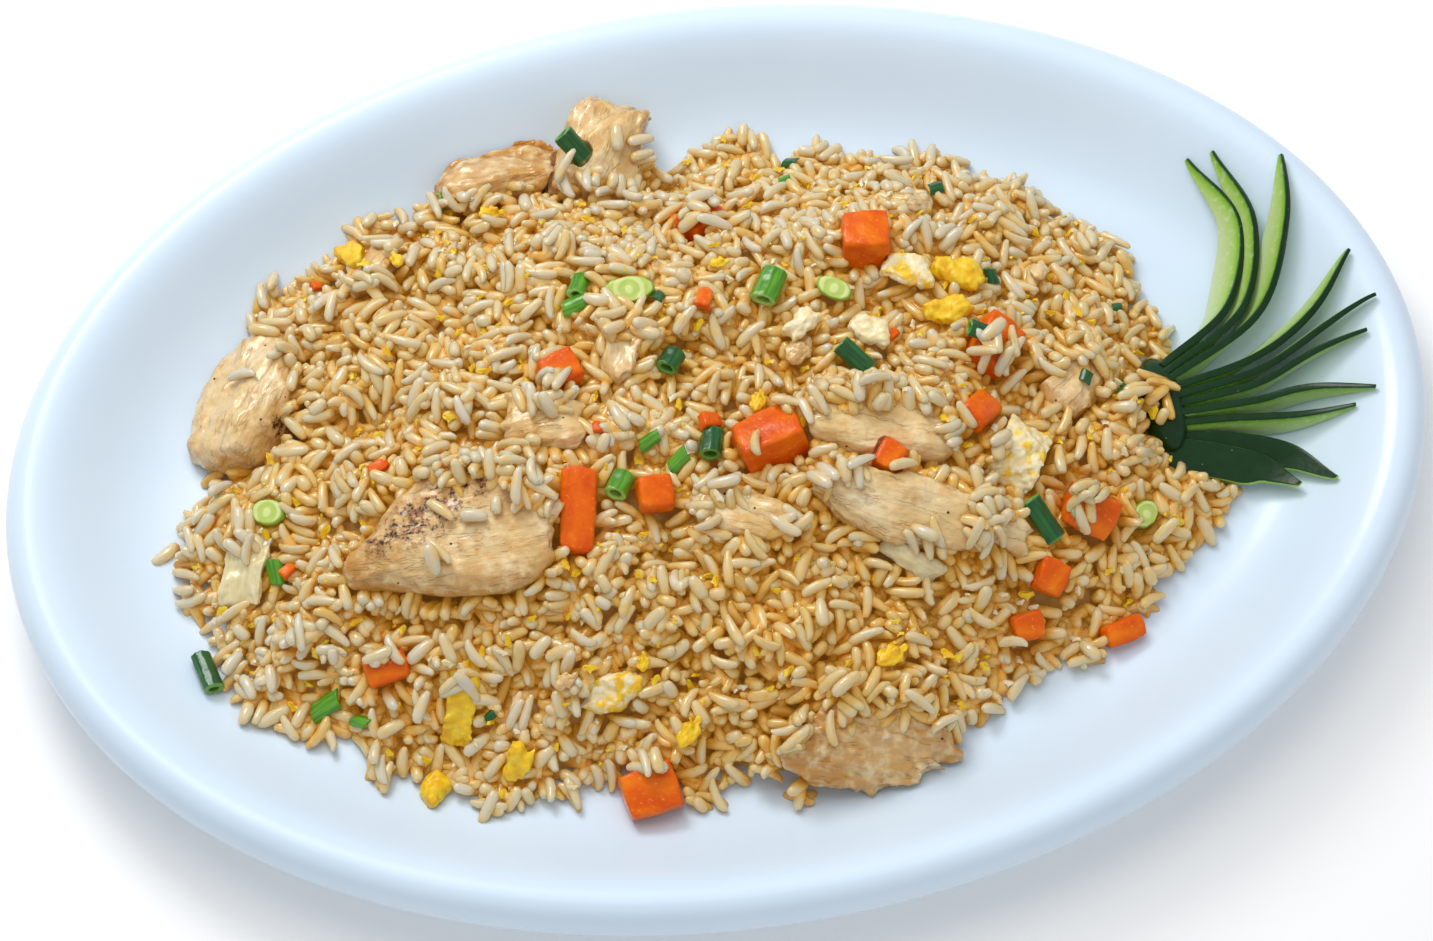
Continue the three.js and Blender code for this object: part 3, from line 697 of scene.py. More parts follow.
def tear(piece, middle, towards, depth, tooth):
    # draws the end on that side in by uneven teeth, as where meat was pulled apart
    count = 60
    points = pointsOf(piece)
    outward = np.array(towards) / math.hypot(*towards)
    along = (points[:, :2] - middle[:2]) @ outward
    across = (points[:, :2] - middle[:2]) @ (-outward[1], outward[0])
    start, end = 0.45 * along.max(), along.max()
    stops = np.cumsum(draw.uniform(0.15, 0.9, count)) * tooth
    teeth = np.interp(across - across.min(), stops, draw.uniform(0, 1, count) ** 1.5)
    pull = depth * teeth * smooth((along - start) / (end - start)) ** 1.5
    points[:, :2] -= outward * pull[:, None]
    setPoints(piece, points)


def makeChicken(name, cut, paint):
    node = "chicken_" + name
    piece = copyOf(node, "chicken" + name.title().replace("_", ""))
    lie = lieOf(piece)
    change(piece, "REMESH", mode="VOXEL", voxel_size=cut["voxel"] * mm)
    for towards, share in cut.get("points", []):
        sharpen(piece, lie[0], towards, share)
    for towards, depth, tooth in cut.get("tears", []):
        tear(piece, lie[0], towards, depth, tooth)
    for kind, clouds in meatClouds.items():
        roughen(piece, lie, depth=cut[kind], **clouds)
    change(piece, "SMOOTH", factor=0.4, iterations=1)
    own = giveOwn(piece, lie)
    half = np.abs(own).max(0)
    edge = np.clip((np.hypot(own[:, 0] / half[0], own[:, 1] / half[1]) - 0.5) / 0.5, 0, 1)
    giveShare(piece, "brown", np.clip(edge * (0.25 + cut["brown"]) + cut["brown"] * 0.5, 0, 1))
    points = pointsOf(piece)
    sear = np.zeros(len(points))
    for x, y, reach in cut.get("spots", []):
        distance = np.hypot(points[:, 0] - x, (points[:, 1] - y) * 1.4) / reach
        sear = np.maximum(sear, np.clip(1.3 - distance, 0, 1))
    giveShare(piece, "sear", sear)
    finishPiece(piece, paint, "chicken", node)
    return points


meatPoints = np.concatenate([makeChicken(name, cut, meat) for name, cut in chicken.items()])


# Heights over the table, on a square grid: the rice's skin, the toppings and the dish

print("heights")
grid = {"step": 0.5, "halfX": 150, "halfY": 112}
lineX = np.arange(-grid["halfX"], grid["halfX"] + 0.01, grid["step"])
lineY = np.arange(-grid["halfY"], grid["halfY"] + 0.01, grid["step"])
gridX, gridY = np.meshgrid(lineX, lineY)


def indexOf(value, line):
    return np.clip(np.rint((np.asarray(value) - line[0]) / grid["step"]).astype(int), 0, len(line) - 1)


def cellsAt(x, y):
    return indexOf(y, lineY), indexOf(x, lineX)


def windowOf(low, high):
    # the part of the grid between two corners
    (near, left), (far, right) = cellsAt(low[0], low[1]), cellsAt(high[0], high[1])
    return slice(near, far + 1), slice(left, right + 1)


def neighbours(field):
    return [np.roll(field, step, axis) for axis in (0, 1) for step in (1, -1)]


def topsOf(piece, heights):
    # raises heights to the piece's upper skin
    points = pointsOf(piece)
    for corners in points[trianglesOf(piece)]:
        a, b, c = corners
        area = (b[0] - a[0]) * (c[1] - a[1]) - (b[1] - a[1]) * (c[0] - a[0])
        if area < 1e-9:
            continue  # the face looks down or sideways
        window = windowOf(corners.min(0) - 0.25, corners.max(0) + 0.25)
        x, y = gridX[window], gridY[window]
        shareB = ((x - a[0]) * (c[1] - a[1]) - (y - a[1]) * (c[0] - a[0])) / area
        shareC = ((b[0] - a[0]) * (y - a[1]) - (b[1] - a[1]) * (x - a[0])) / area
        inside = (shareB >= -0.001) & (shareC >= -0.001) & (shareB + shareC <= 1.001)
        z = a[2] + shareB * (b[2] - a[2]) + shareC * (c[2] - a[2])
        patch = heights[window]
        patch[inside] = np.maximum(patch[inside], z[inside])
    return heights


def soften(field, mask, rounds):
    # replaces the masked cells by the average of their neighbours, many times
    field = field.copy()
    for count in range(rounds):
        spread = sum(neighbours(field)) / 4
        field[mask] = spread[mask]
    return field


def grow(mask, cells):
    for count in range(cells):
        mask = np.logical_or.reduce([mask] + neighbours(mask))
    return mask


dishTop = platterTop(gridX, gridY)
riceSkin = topsOf(solids["rice"], np.full_like(gridX, -1.0))
isRice = riceSkin > 0
meatTop = np.full_like(gridX, -1.0)
np.maximum.at(meatTop, cellsAt(meatPoints[:, 0], meatPoints[:, 1]), meatPoints[:, 2])
for axis in (0, 1):
    meatTop = np.maximum(meatTop, np.maximum(np.roll(meatTop, 1, axis), np.roll(meatTop, -1, axis)))
otherTop = np.full_like(gridX, -1.0)
for node in sorted(solids):
    if node not in ("rice", "platter") and not node.startswith("chicken"):
        topsOf(solids[node], otherTop)
toppingTop = np.maximum(meatTop, otherTop)
isTopping = toppingTop > 0
underTopping = grow(isTopping & isRice, 2)
riceLevel = soften(np.where(isRice, riceSkin, dishTop), underTopping & isRice, 500)
riceLevel = soften(riceLevel, isRice, 6)


# Rice: a core, and grains that are dropped on it one by one

rice = {
    "coreDepth": 6.5, "coreInset": 3.5, "coreCover": 3.4,
    "clumps": [(30, 2.2), (13, 4.3), (6, 1.6)],  # how far apart its hills are, and how high
    "spill": 4.5,
    "jumbled": 4300, "jumbleDepth": (1.5, 4.2),
    "early": 2700, "most": 6200, "drifted": 700, "fails": 700, "tries": 6, "turns": 2,
    "turnSpread": 1.1, "leanSpread": 0.42, "roll": 0.5,
    "loose": 450, "looseLean": 0.3, "looseProud": 1.6,
    "proud": 0.7, "driftProud": 1.0,  # how far a dropped grain may stand above the level
    "earlyCrumbs": 0.4,
}
# how brown a grain is at least, how much that varies, and the few that are browner
stain = {"least": -0.08, "varies": 0.42, "patchy": 0.12, "oddShare": 0.02, "odd": 0.3}
# a point is in the hollows from start above its surroundings to reach lower down
hollow = {"start": 1.2, "reach": 3.6, "most": 0.8}
# rice leans against the sides and far ends of the toppings, fully in some patches and hardly in others
bank = {
    "height": 3.6, "reach": 4.6, "step": 0.5, "below": 1.3, "slope": 0.5, "belowOthers": 2,
    "share": 0.6, "shareVaries": 0.4, "patch": 9,
    "ways": ((0, 1), (0.8, 0.6), (-0.8, 0.6), (1, 0.1), (-1, 0.1)),
}
grainShapes = {
    "plumpGrains": {"length": 7.8, "width": 3.3, "height": 2.95, "tail": 0.88, "bow": 0.2},
    "slimGrains": {"length": 9.0, "width": 2.9, "height": 2.7, "tail": 0.8, "bow": 0.4},
    "bentGrains": {"length": 8.4, "width": 3.05, "height": 2.8, "tail": 0.84, "bow": 1.0},
    "brokenGrains": {"length": 4.8, "width": 3.2, "height": 2.85, "tail": 0.9, "bow": 0.1},
}
grainOdds = {"plumpGrains": 0.32, "slimGrains": 0.31, "bentGrains": 0.25, "brokenGrains": 0.12}
# rice that lies over the edges of the toppings: place, reach, height
drifts = [
    (-91, 0, 6, 3), (-83, 1, 7, 3.5), (-73, -1, 6, 3), (-63, -4, 7, 4), (-53, -6, 8, 4.5), (-48, -14, 5, 3.5),
    (-99, 46, 6, 3), (-99, 35, 6, 3.5), (-101, 24, 6, 3.5), (-104, 16, 6, 3), (-110, 13, 5, 2.5),
    (-106, 55, 4, 2), (-59, 77, 5, 2.5), (-49, 75, 6, 3), (-38, 76, 6, 3.5), (-28, 74, 6, 3.5),
    (-18, 75, 7, 4), (-8, 73, 7, 4), (-3, 87, 4, 2.5), (21, -2, 6, 3.5), (30, -2, 6, 3), (40, -3, 6, 3),
    (49, -6, 5, 2.5), (55, -15, 4, 2), (18, -23, 5, 3), (27, -22, 4, 2), (62, -34, 5, 2.5), (57, -43, 5, 2.5),
    (43, -43, 4, 2), (1, -70, 7, 4), (11, -69, 8, 4), (23, -71, 8, 4), (33, -74, 7, 4), (39, -79, 5, 3),
    (17, -77, 4, 2.5), (2, -79, 5, 3), (6, 62, 5, 3), (-42, 11, 6, 3), (-25, 28, 5, 2.5), (-15, 25, 4, 2),
    (83, 7, 6, 3), (97, 5, 6, 3), (92, 7, 5, 2.5), (108, -6, 6, 3), (71, 4, 5, 2.5), (-4, -21, 5, 2.5),
    (-11, -30, 5, 2.5), (12, -36, 5, 2.5), (-80, 56, 5, 2.5), (-72, 67, 4, 2.5), (84, -36, 4, 2),
    (-91, -42, 4, 2.5), (-122, -5, 4, 2), (-74, -54, 4, 1.5), (-32, -79, 4, 2.5), (65, -21, 4, 2),
]
# where the rice has caught, and four broad patches that darken whole slopes of the heap as painted shade:
# place, reach, how much
browned = [
    (95, -50, 62, 0.24), (0, -78, 64, 0.26), (-85, 20, 40, 0.1), (108, 12, 36, 0.16), (112, -6, 9, 0.5),
    (76, 44, 6, 0.6), (-78, -15, 9, 0.2), (38, -60, 12, 0.2), (-60, -52, 10, 0.15),
]
# single grains that lie on something: place, and turn in degrees
strays = [
    (-71.5, -16.5, -50), (-64, -20, -15), (-58.4, -18.6, 80), (-53, -16.4, 75), (-73.5, -26.7, -55),
    (-75.4, -29.1, -80), (-115.5, 40, -12), (-97.4, 48, -70), (-26.3, 82.9, 50), (-11.6, 88.9, 85),
    (37, -3.6, 5), (5.5, -13.5, 80), (2.3, 57.8, 15), (8.3, 55.5, -20), (39.9, -24.9, 10),
    (11, -83, 85), (16.4, -74.3, 30), (33.6, -80.1, -40), (-96.6, -64.6, 75), (-92, -60, 20),
    (60, -66, -20), (104, -42, 30), (-125, 10, 40), (-84, -58, 60),
]


def lumps(size):
    # smooth hills and hollows about size apart, from -1 to 1
    values = draw.uniform(-1, 1, (int(2 * grid["halfY"] / size) + 3, int(2 * grid["halfX"] / size) + 3))
    across, up = (gridX + grid["halfX"]) / size, (gridY + grid["halfY"]) / size
    column, row = across.astype(int), up.astype(int)
    across, up = smooth(across - column), smooth(up - row)
    near = values[row, column] * (1 - across) + values[row, column + 1] * across
    far = values[row + 1, column] * (1 - across) + values[row + 1, column + 1] * across
    return near * (1 - up) + far * up


def shifted(field, x, y):
    return np.roll(field, (round(y / grid["step"]), round(x / grid["step"])), (0, 1))


def heapLevel():
    # the rice's skin with its clumps, banked against the toppings and drifted over them
    level = riceLevel.copy()
    for size, height in rice["clumps"]:
        level += height * lumps(size)
    level = np.maximum(level, coreHeights() + rice["coreCover"])
    # beside the toppings the clumps' hollows are left out
    steady = soften(np.where(grow(isTopping, 4), 1.0, 0.0), np.ones_like(isRice), 12)
    level = level * (1 - steady) + np.maximum(level, riceLevel - 0.2) * steady
    against = level.copy()
    leanedOn = np.maximum(meatTop, otherTop - bank["belowOthers"])
    for away in np.arange(0, bank["reach"], bank["step"]):
        for x, y in bank["ways"]:
            side = shifted(leanedOn, x * away, y * away) - bank["below"] - bank["slope"] * away
            against = np.maximum(against, np.minimum(side, level + bank["height"]))
    level = level + (against - level) * (bank["share"] + bank["shareVaries"] * lumps(bank["patch"]))
    over = np.zeros_like(isRice)
    for x, y, reach, height in drifts:
        share = 1 - ((gridX - x) ** 2 + (gridY - y) ** 2) / (reach * (1 + 0.3 * lumps(4))) ** 2
        inside = share > 0
        raised = np.maximum(toppingTop, riceLevel - 1) + height * np.sqrt(np.maximum(share, 0))
        level = np.where(inside, np.maximum(level, raised), level)
        over |= inside & (share > 0.1)
    return level, over


def modelGrain(name, shape):
    bpy.ops.mesh.primitive_uv_sphere_add(
        segments=8, ring_count=6, radius=mm / 2, rotation=(0, math.pi / 2, 0))
    piece = named(name)
    piece.scale = (shape["length"], shape["width"], shape["height"])
    settlePlace(piece)
    half = shape["length"] / 2
    tail, bow = shape["tail"], shape["bow"] * mm
    bpy.ops.object.mode_set(mode="EDIT")
    resizeWhere(piece, lambda place: half * 0.4 < abs(place.x) < half * 0.6, (1.24, 1.1, 1.1))
    resizeWhere(piece, lambda place: half * 0.8 < abs(place.x) < half * 0.95, (1.03, 1.3, 1.3))
    resizeWhere(piece, lambda place: place.x > half * 0.3, (1, tail, tail))
    for side in (-1, 1):
        moveWhere(piece, lambda place: side * place.x > half * 0.3, (0, -bow * 0.4, 0))
        moveWhere(piece, lambda place: side * place.x > half * 0.75, (0, -bow * 0.6, 0))
    bpy.ops.object.mode_set(mode="OBJECT")
    return piece


def modelCrumb(name, size, rough):
    bpy.ops.mesh.primitive_ico_sphere_add(subdivisions=2, radius=mm / 2)
    piece = named(name, size)
    roughen(piece, upright, min(size) * 1.1, rough)
    return piece


def modelLeafBit(name, size):
    # a short length of leaf, pressed flat, curled at its sides and cut at a slant
    bpy.ops.mesh.primitive_grid_add(x_subdivisions=6, y_subdivisions=5, size=mm)
    piece = named(name, (size[0], size[1], 1))
    bpy.ops.object.mode_set(mode="EDIT")
    for side in (-1, 1):
        moveWhere(piece, lambda place: side * place.y > size[1] * 0.2, (0, 0, -0.25 * mm))
        moveWhere(piece, lambda place: side * place.y > size[1] * 0.4, (0, -side * 0.2 * mm, -0.45 * mm))
        pick(piece, lambda place: side * place.x > size[0] * 0.45)
        end = (side * size[0] * 0.5 * mm, 0, 0)
        bpy.ops.transform.rotate(value=0.35, orient_axis="Z", center_override=end)
    bpy.ops.object.mode_set(mode="OBJECT")
    change(piece, "SOLIDIFY", thickness=0.5 * mm, offset=0)
    change(piece, "BEVEL", width=0.12 * mm, segments=2, limit_method="ANGLE")
    roughen(piece, upright, 2.5, 0.6)
    return piece


def modelChip(name, size):
    # a chipped corner of a dice
    bpy.ops.mesh.primitive_cube_add(size=mm)
    piece = named(name, size)
    bpy.ops.object.mode_set(mode="EDIT")
    bpy.ops.mesh.select_all(action="SELECT")
    bpy.ops.mesh.subdivide(number_cuts=3)
    resizeWhere(piece, lambda place: place.x > size[0] * 0.4, (1, 0.55, 0.7), (0, 0, -size[2] * 0.4 * mm))
    bpy.ops.object.mode_set(mode="OBJECT")
    change(piece, "BEVEL", width=0.35 * mm, segments=2, limit_method="ANGLE")
    roughen(piece, upright, 2.2, 0.9)
    return piece


def modelRag(name, size):
    # a torn bit, drawn out at one end
    bpy.ops.mesh.primitive_ico_sphere_add(subdivisions=4, radius=mm / 2)
    piece = named(name, size)
    bpy.ops.object.mode_set(mode="EDIT")
    resizeWhere(piece, lambda place: place.x > size[0] * 0.25, (1.25, 0.6, 0.6), (0, 0, -size[2] * 0.3 * mm))
    bpy.ops.object.mode_set(mode="OBJECT")
    roughen(piece, upright, 3, 2.4)
    roughen(piece, upright, 1.2, 0.9, along=2)
    return piece


class Heap:
    # what has been laid so far, as heights, and the places of the things that were laid
    def __init__(self, ground):
        self.ground = ground.copy()
        self.laid = {}

    def rest(self, x, y, turn, size, lean=0.0, sink=1.5):
        # how a thing of that size comes to lie at x, y: its middle's height and its pitch
        length, width, height = size
        along = np.array([-0.44, -0.3, -0.15, 0, 0.15, 0.3, 0.44]) * length
        belly = height / 2 * np.sqrt(1 - (2 * along / length) ** 2)
        cosine, sine = math.cos(turn), math.sin(turn)
        under = np.full(len(along), -99.0)
        for side in (-0.28 * width, 0, 0.28 * width):
            below = cellsAt(x + along * cosine - side * sine, y + along * sine + side * cosine)
            under = np.maximum(under, self.ground[below])
        slope = (under[4:].max() - under[:3].max()) / (0.6 * length)
        pitch = max(-0.9, min(0.9, math.atan(slope) * 0.9)) + lean
        z = (under + belly - along * math.tan(pitch)).max() - sink
        return z, pitch

    def lay(self, kind, x, y, z, turn, pitch, size, roll=0.0):
        self.laid.setdefault(kind, []).append((x, y, z, turn, pitch, roll, size))
        length, width, height = size
        reach = length / 2 + 0.5
        window = windowOf((x - reach, y - reach), (x + reach, y + reach))
        offX, offY = gridX[window] - x, gridY[window] - y
        cosine, sine = math.cos(turn), math.sin(turn)
        along = (offX * cosine + offY * sine) / math.cos(pitch)
        side = offY * cosine - offX * sine
        remains = 1 - np.abs(2 * along / length) ** 2.6 - (2 * side / width) ** 2
        top = z + along * math.sin(pitch) + height / 2 * np.sqrt(np.maximum(remains, 0))
        patch = self.ground[window]
        inside = remains > 0
        patch[inside] = np.maximum(patch[inside], top[inside])

    def settle(self, kind, x, y, turn, size, lean=0.0, sink=1.5, highest=math.inf):
        # lays a thing where it comes to lie, unless it would stand out
        z, pitch = self.rest(x, y, turn, size, lean, sink)
        if z < highest:
            self.lay(kind, x, y, z, turn, pitch, size)


def coreHeights():
    core = np.where(isRice, np.maximum(riceLevel - rice["coreDepth"], dishTop + 0.3), dishTop + 0.1)
    return np.where(isRice & underTopping, np.minimum(core, np.maximum(riceSkin - 0.6, dishTop + 0.2)), core)


def outlineReach():
    # the rice's half-width in every direction from its middle
    angles = np.linspace(0, 2 * math.pi, 361)
    reaches = []
    for angle in angles:
        steps = np.arange(60, 150, 0.5)
        inside = isRice[cellsAt(steps * math.cos(angle), steps * math.sin(angle))]
        reaches.append(steps[inside].max() if inside.any() else 60)
    return angles, np.array(reaches)


def makeCore(heights):
    angles, reaches = outlineReach()
    bpy.ops.mesh.primitive_uv_sphere_add(segments=144, ring_count=96, radius=1)
    piece = bpy.context.object
    piece.name = "riceCore"
    ball = pointsOf(piece) * mm
    polar = np.arccos(np.clip(ball[:, 2], -1, 1)) / (math.pi / 2)
    isTop = polar <= 1.0001
    share = np.where(isTop, polar, 2 - polar)
    angle = np.arctan2(ball[:, 1], ball[:, 0]) % (2 * math.pi)
    reach = (np.interp(angle, angles, reaches) - rice["coreInset"]) * share
    x, y = reach * np.cos(angle), reach * np.sin(angle)
    floor = dishTop[cellsAt(x, y)] + 0.15
    top = np.maximum(heights[cellsAt(x, y)], floor)
    z = np.where(isTop, top, floor)
    setPoints(piece, np.stack([x, y, z], 1))
    change(piece, "SMOOTH", factor=0.5, iterations=2)
    finishPiece(piece, hollowPaint(), "rice", "rice")


def drawGrain():
    kind = draw.choice(list(grainOdds), p=list(grainOdds.values()))
    shape = grainShapes[kind]
    size = (
        shape["length"] * draw.uniform(0.85, 1.15),
        shape["width"] * draw.uniform(0.9, 1.1),
        shape["height"] * draw.uniform(0.9, 1.1),
    )
    return str(kind), size


def dropGrains(cells, proud, most):
    # each grain goes where most is missing, in the turn that lets it lie lowest
    fails = count = 0
    while count < most and fails < rice["fails"]:
        tried = cells[draw.integers(0, len(cells), rice["tries"])]
        missing = level[tried[:, 0], tried[:, 1]] - heap.ground[tried[:, 0], tried[:, 1]]
        row, column = tried[np.argmax(missing + draw.uniform(0, 2, rice["tries"]))]
        x, y = lineX[column] + draw.uniform(-0.3, 0.3), lineY[row] + draw.uniform(-0.3, 0.3)
        kind, size = drawGrain()
        best = None
        for turn in grainTurns[row, column] + draw.normal(0, rice["turnSpread"], rice["turns"]):
            z, pitch = heap.rest(x, y, turn, size, draw.normal(0, rice["leanSpread"]))
            if best is None or z < best[0]:
                best = (z, turn, pitch)
        z, turn, pitch = best
        if z + size[2] * 0.3 > level[row, column] + proud:
            fails += 1
            continue
        fails = 0
        count += 1
        heap.lay(kind, x, y, z, turn, pitch, size, draw.uniform(-rice["roll"], rice["roll"]))
    return count


def jumbleGrains(cells):
    # sticky grains that lie across each other below the top ones
    bare = cells[~isTopping[cells[:, 0], cells[:, 1]]]
    for row, column in bare[draw.integers(0, len(bare), rice["jumbled"])]:
        x, y = lineX[column], lineY[row]
        kind, size = drawGrain()
        z = max(level[row, column] - draw.uniform(*rice["jumbleDepth"]), dishTop[row, column] + size[2] / 2)
        turn = grainTurns[row, column] + draw.normal(0, 1)
        heap.lay(kind, x, y, z, turn, draw.normal(0, 0.4), size, draw.uniform(-rice["roll"], rice["roll"]))


def tintOf(x, y):
    # browner in some patches, darker where the broad browned patches lie as painted shade, and different from
    # grain to grain; the painted shade in the hollows comes from deepOf
    patch = 0.5 + 0.25 * math.sin(x / 17 + 1.3 * math.sin(y / 13)) + 0.25 * math.sin(y / 11 + x / 29)
    tint = draw.beta(2, 3.5) * stain["varies"] + stain["least"] + stain["patchy"] * patch
    for spotX, spotY, reach, amount in browned:
        tint += amount * max(0, 1 - math.hypot(x - spotX, y - spotY) / reach)
    if draw.random() < stain["oddShare"]:
        tint += stain["odd"]
    return tint


def deepOf(points):
    # how far below its surroundings a point of the heap lies, from 0 to 1
    # the grains' paint darkens and warms these points and makes them glow, as painted shade and a painted
    # glow
    below = surround[cellsAt(points[:, 0], points[:, 1])] - points[:, 2]
    return np.clip((below + hollow["start"]) / hollow["reach"], 0, 1) * hollow["most"]


def scatter(pattern, name):
    # one joined mesh with a copy of the pattern wherever its kind was laid
    laid = heap.laid[name]
    points = pointsOf(pattern)
    corners = np.empty(len(pattern.data.loops), int)
    starts = np.empty(len(pattern.data.polygons), int)
    pattern.data.loops.foreach_get("vertex_index", corners)
    pattern.data.polygons.foreach_get("loop_start", starts)
    span = points.max(0) - points.min(0)
    places, owns, tints, deeps = [], [], [], []
    for x, y, z, turn, pitch, roll, size in laid:
        lying = Matrix.Rotation(turn, 3, "Z") @ Matrix.Rotation(-pitch, 3, "Y")
        lying = lying @ Matrix.Rotation(roll, 3, "X")
        sized = points * (np.array(size) / span)
        places.append(sized @ np.array(lying).T + (x, y, z))
        deeps.append(deepOf(places[-1]))
        owns.append(sized + draw.uniform(0, 900, 3))
        tints.append(np.full(len(points), tintOf(x, y)))
    count = np.arange(len(laid))[:, None]
    mesh = bpy.data.meshes.new(name)
    mesh.vertices.add(len(laid) * len(points))
    mesh.vertices.foreach_set("co", (np.concatenate(places) * mm).astype(np.float32).ravel())
    mesh.loops.add(len(laid) * len(corners))
    mesh.loops.foreach_set("vertex_index", (corners[None] + count * len(points)).ravel())
    mesh.polygons.add(len(laid) * len(starts))
    mesh.polygons.foreach_set("loop_start", (starts[None] + count * len(corners)).ravel())
    mesh.update(calc_edges=True)
    mesh.validate()
    bpy.data.objects.remove(pattern)
    piece = bpy.data.objects.new(name, mesh)
    scene.collection.objects.link(piece)
    giveShare(piece, "tint", np.concatenate(tints))
    giveShare(piece, "deep", np.concatenate(deeps))
    giveVectors(piece, "own", np.concatenate(owns) * mm)
    return piece


print("grains")
crumbs = {
    "eggCrumbs": {"size": (2.8, 1.7, 1.0), "rough": 3.0, "count": 520, "mixed": (0.3, 1.4), "white": 0.1},
    "whiteCrumbs": {"size": (2.6, 1.6, 1.0), "rough": 2.6, "count": 180, "mixed": (0.4, 1.3), "white": 0.95},
}
# loose bits too little to be solids: their size, then place, turn in degrees and how big each is
bits = {
    "darkLeafBits": {"size": (4.8, 3.4, 1.2), "places": [
        (68, 63, 20, 1), (75, 30, 100, 1), (92, -2, 60, 0.9), (107, 22, 10, 0.8), (33, 82, -30, 1),
        (-10, 34, 60, 1.1), (-68, -62, 30, 0.8)]},
    "brightLeafBits": {"size": (4.8, 3.0, 1.2), "places": [
        (-58, 85, -10, 1.1), (-31, 35, 10, 1.7), (-19, -5, 20, 1.4), (-13, -11, 30, 1.4),
        (-114, -15, 95, 1.6), (-107, -50, 15, 1.9), (-99, -56, -40, 1.2), (30, 74, 15, 0.9)]},
    "carrotBits": {"size": (5.0, 3.2, 2.4), "places": [
        (-94, 65, 20, 0.8), (-38, 94, 30, 0.7), (-31, 0, 90, 0.8), (-3, -2, 5, 1.3), (46, 16, 30, 0.9),
        (1, 30, 70, 1.3), (-111, -16, 40, 1.0), (-85, 3, 20, 1.1)]},
    "curdBits": {"size": (6.0, 3.6, 2.0), "places": [
        (-81, 64, 80, 1.4), (-47, 74, 10, 1.4), (-22, -76, 40, 1.4), (9, 1, 60, 1.3), (7, 43, 0, 1.0),
        (29, -67, 20, 1.5), (65, -22, 50, 0.9), (-30, -58, 70, 0.9), (-73, 62, 100, 0.9)]},
    "meatBits": {"size": (9.0, 5.5, 3.6), "places": [
        (22, 15, 40, 1.2), (27, 1, 20, 1.0), (-49, -60, 10, 0.8), (88, 32, 60, 0.9), (60, 52, 20, 0.9)]},
}
grainTurns = lumps(14) * 4
level, over = heapLevel()
spilled = grow(isRice, int(rice["spill"] / grid["step"])) & (lumps(7) > 0.15)
openHere = (isRice | spilled) & (~isTopping | (toppingTop < level - 0.5) | over)
openCells = np.argwhere(openHere)
core = coreHeights()
heap = Heap(core)


def layCrumbs(share):
    for name, crumb in crumbs.items():
        for row, column in openCells[draw.integers(0, len(openCells), int(crumb["count"] * share))]:
            size = np.array(crumb["size"]) * draw.uniform(*crumb["mixed"]) * draw.uniform(0.75, 1.25, 3)
            turn = draw.uniform(0, math.pi)
            heap.settle(name, lineX[column], lineY[row], turn, size, sink=0.2, highest=level[row, column] + 2)


def layBits():
    for name, bit in bits.items():
        for x, y, turn, big in bit["places"]:
            size = np.array(bit["size"]) * big * draw.uniform(0.9, 1.1, 3)
            heap.settle(name, x, y, math.radians(turn), size, sink=0.6)


def layStrays():
    for x, y, turn in strays:
        kind, size = drawGrain()
        heap.settle(kind, x, y, math.radians(turn), size, sink=0.3)


def layRice():
    jumbleGrains(openCells)
    layCrumbs(rice["earlyCrumbs"])
    beside = np.argwhere(openHere & ~(over & isTopping) & ~grow(otherTop > 0, 3))
    laid = dropGrains(beside, rice["proud"], rice["early"])
    layBits()
    layCrumbs(1 - rice["earlyCrumbs"])
    laid += dropGrains(beside, rice["proud"], rice["most"])
    heap.ground = np.maximum(heap.ground, toppingTop)
    laid += dropGrains(np.argwhere(over & isTopping), rice["driftProud"], rice["drifted"])
    for row, column in openCells[draw.integers(0, len(openCells), rice["loose"])]:
        kind, size = drawGrain()
        turn, lean = draw.uniform(0, math.pi), draw.normal(0, rice["looseLean"])
        highest = level[row, column] + rice["looseProud"]
        heap.settle(kind, lineX[column], lineY[row], turn, size, lean, highest=highest)
    layStrays()
    print("grains laid:", laid)


def makeRice():
    makeCore(core)
    paint = grainPaint()
    for name, shape in grainShapes.items():
        finishPiece(scatter(modelGrain(name + "Pattern", shape), name), paint, "rice", "rice")


def makeCrumbs(paint):
    for name, crumb in crumbs.items():
        piece = scatter(modelCrumb(name + "Pattern", crumb["size"], crumb["rough"]), name)
        giveShare(piece, "white", crumb["white"])
        finishPiece(piece, paint, "egg")


def makeBits():
    looks = {
        "darkLeafBits": (modelLeafBit, darkLeaf, "scallion_green"),
        "brightLeafBits": (modelLeafBit, brightLeaf, "scallion_green"),
        "carrotBits": (modelChip, carrot, "carrot"),
        "curdBits": (modelRag, egg, "egg"),
        "meatBits": (modelRag, meat, "chicken"),
    }
    for name, (model, material, slot) in looks.items():
        piece = scatter(model(name + "Pattern", bits[name]["size"]), name)
        giveShare(piece, "white", 0.15)
        giveShare(piece, "brown", 0.35)
        finishPiece(piece, material, slot)


layRice()
surround = soften(heap.ground, np.ones_like(isRice), 40)
makeRice()
makeCrumbs(egg)
makeBits()


# Carrot, scallion, egg and onion

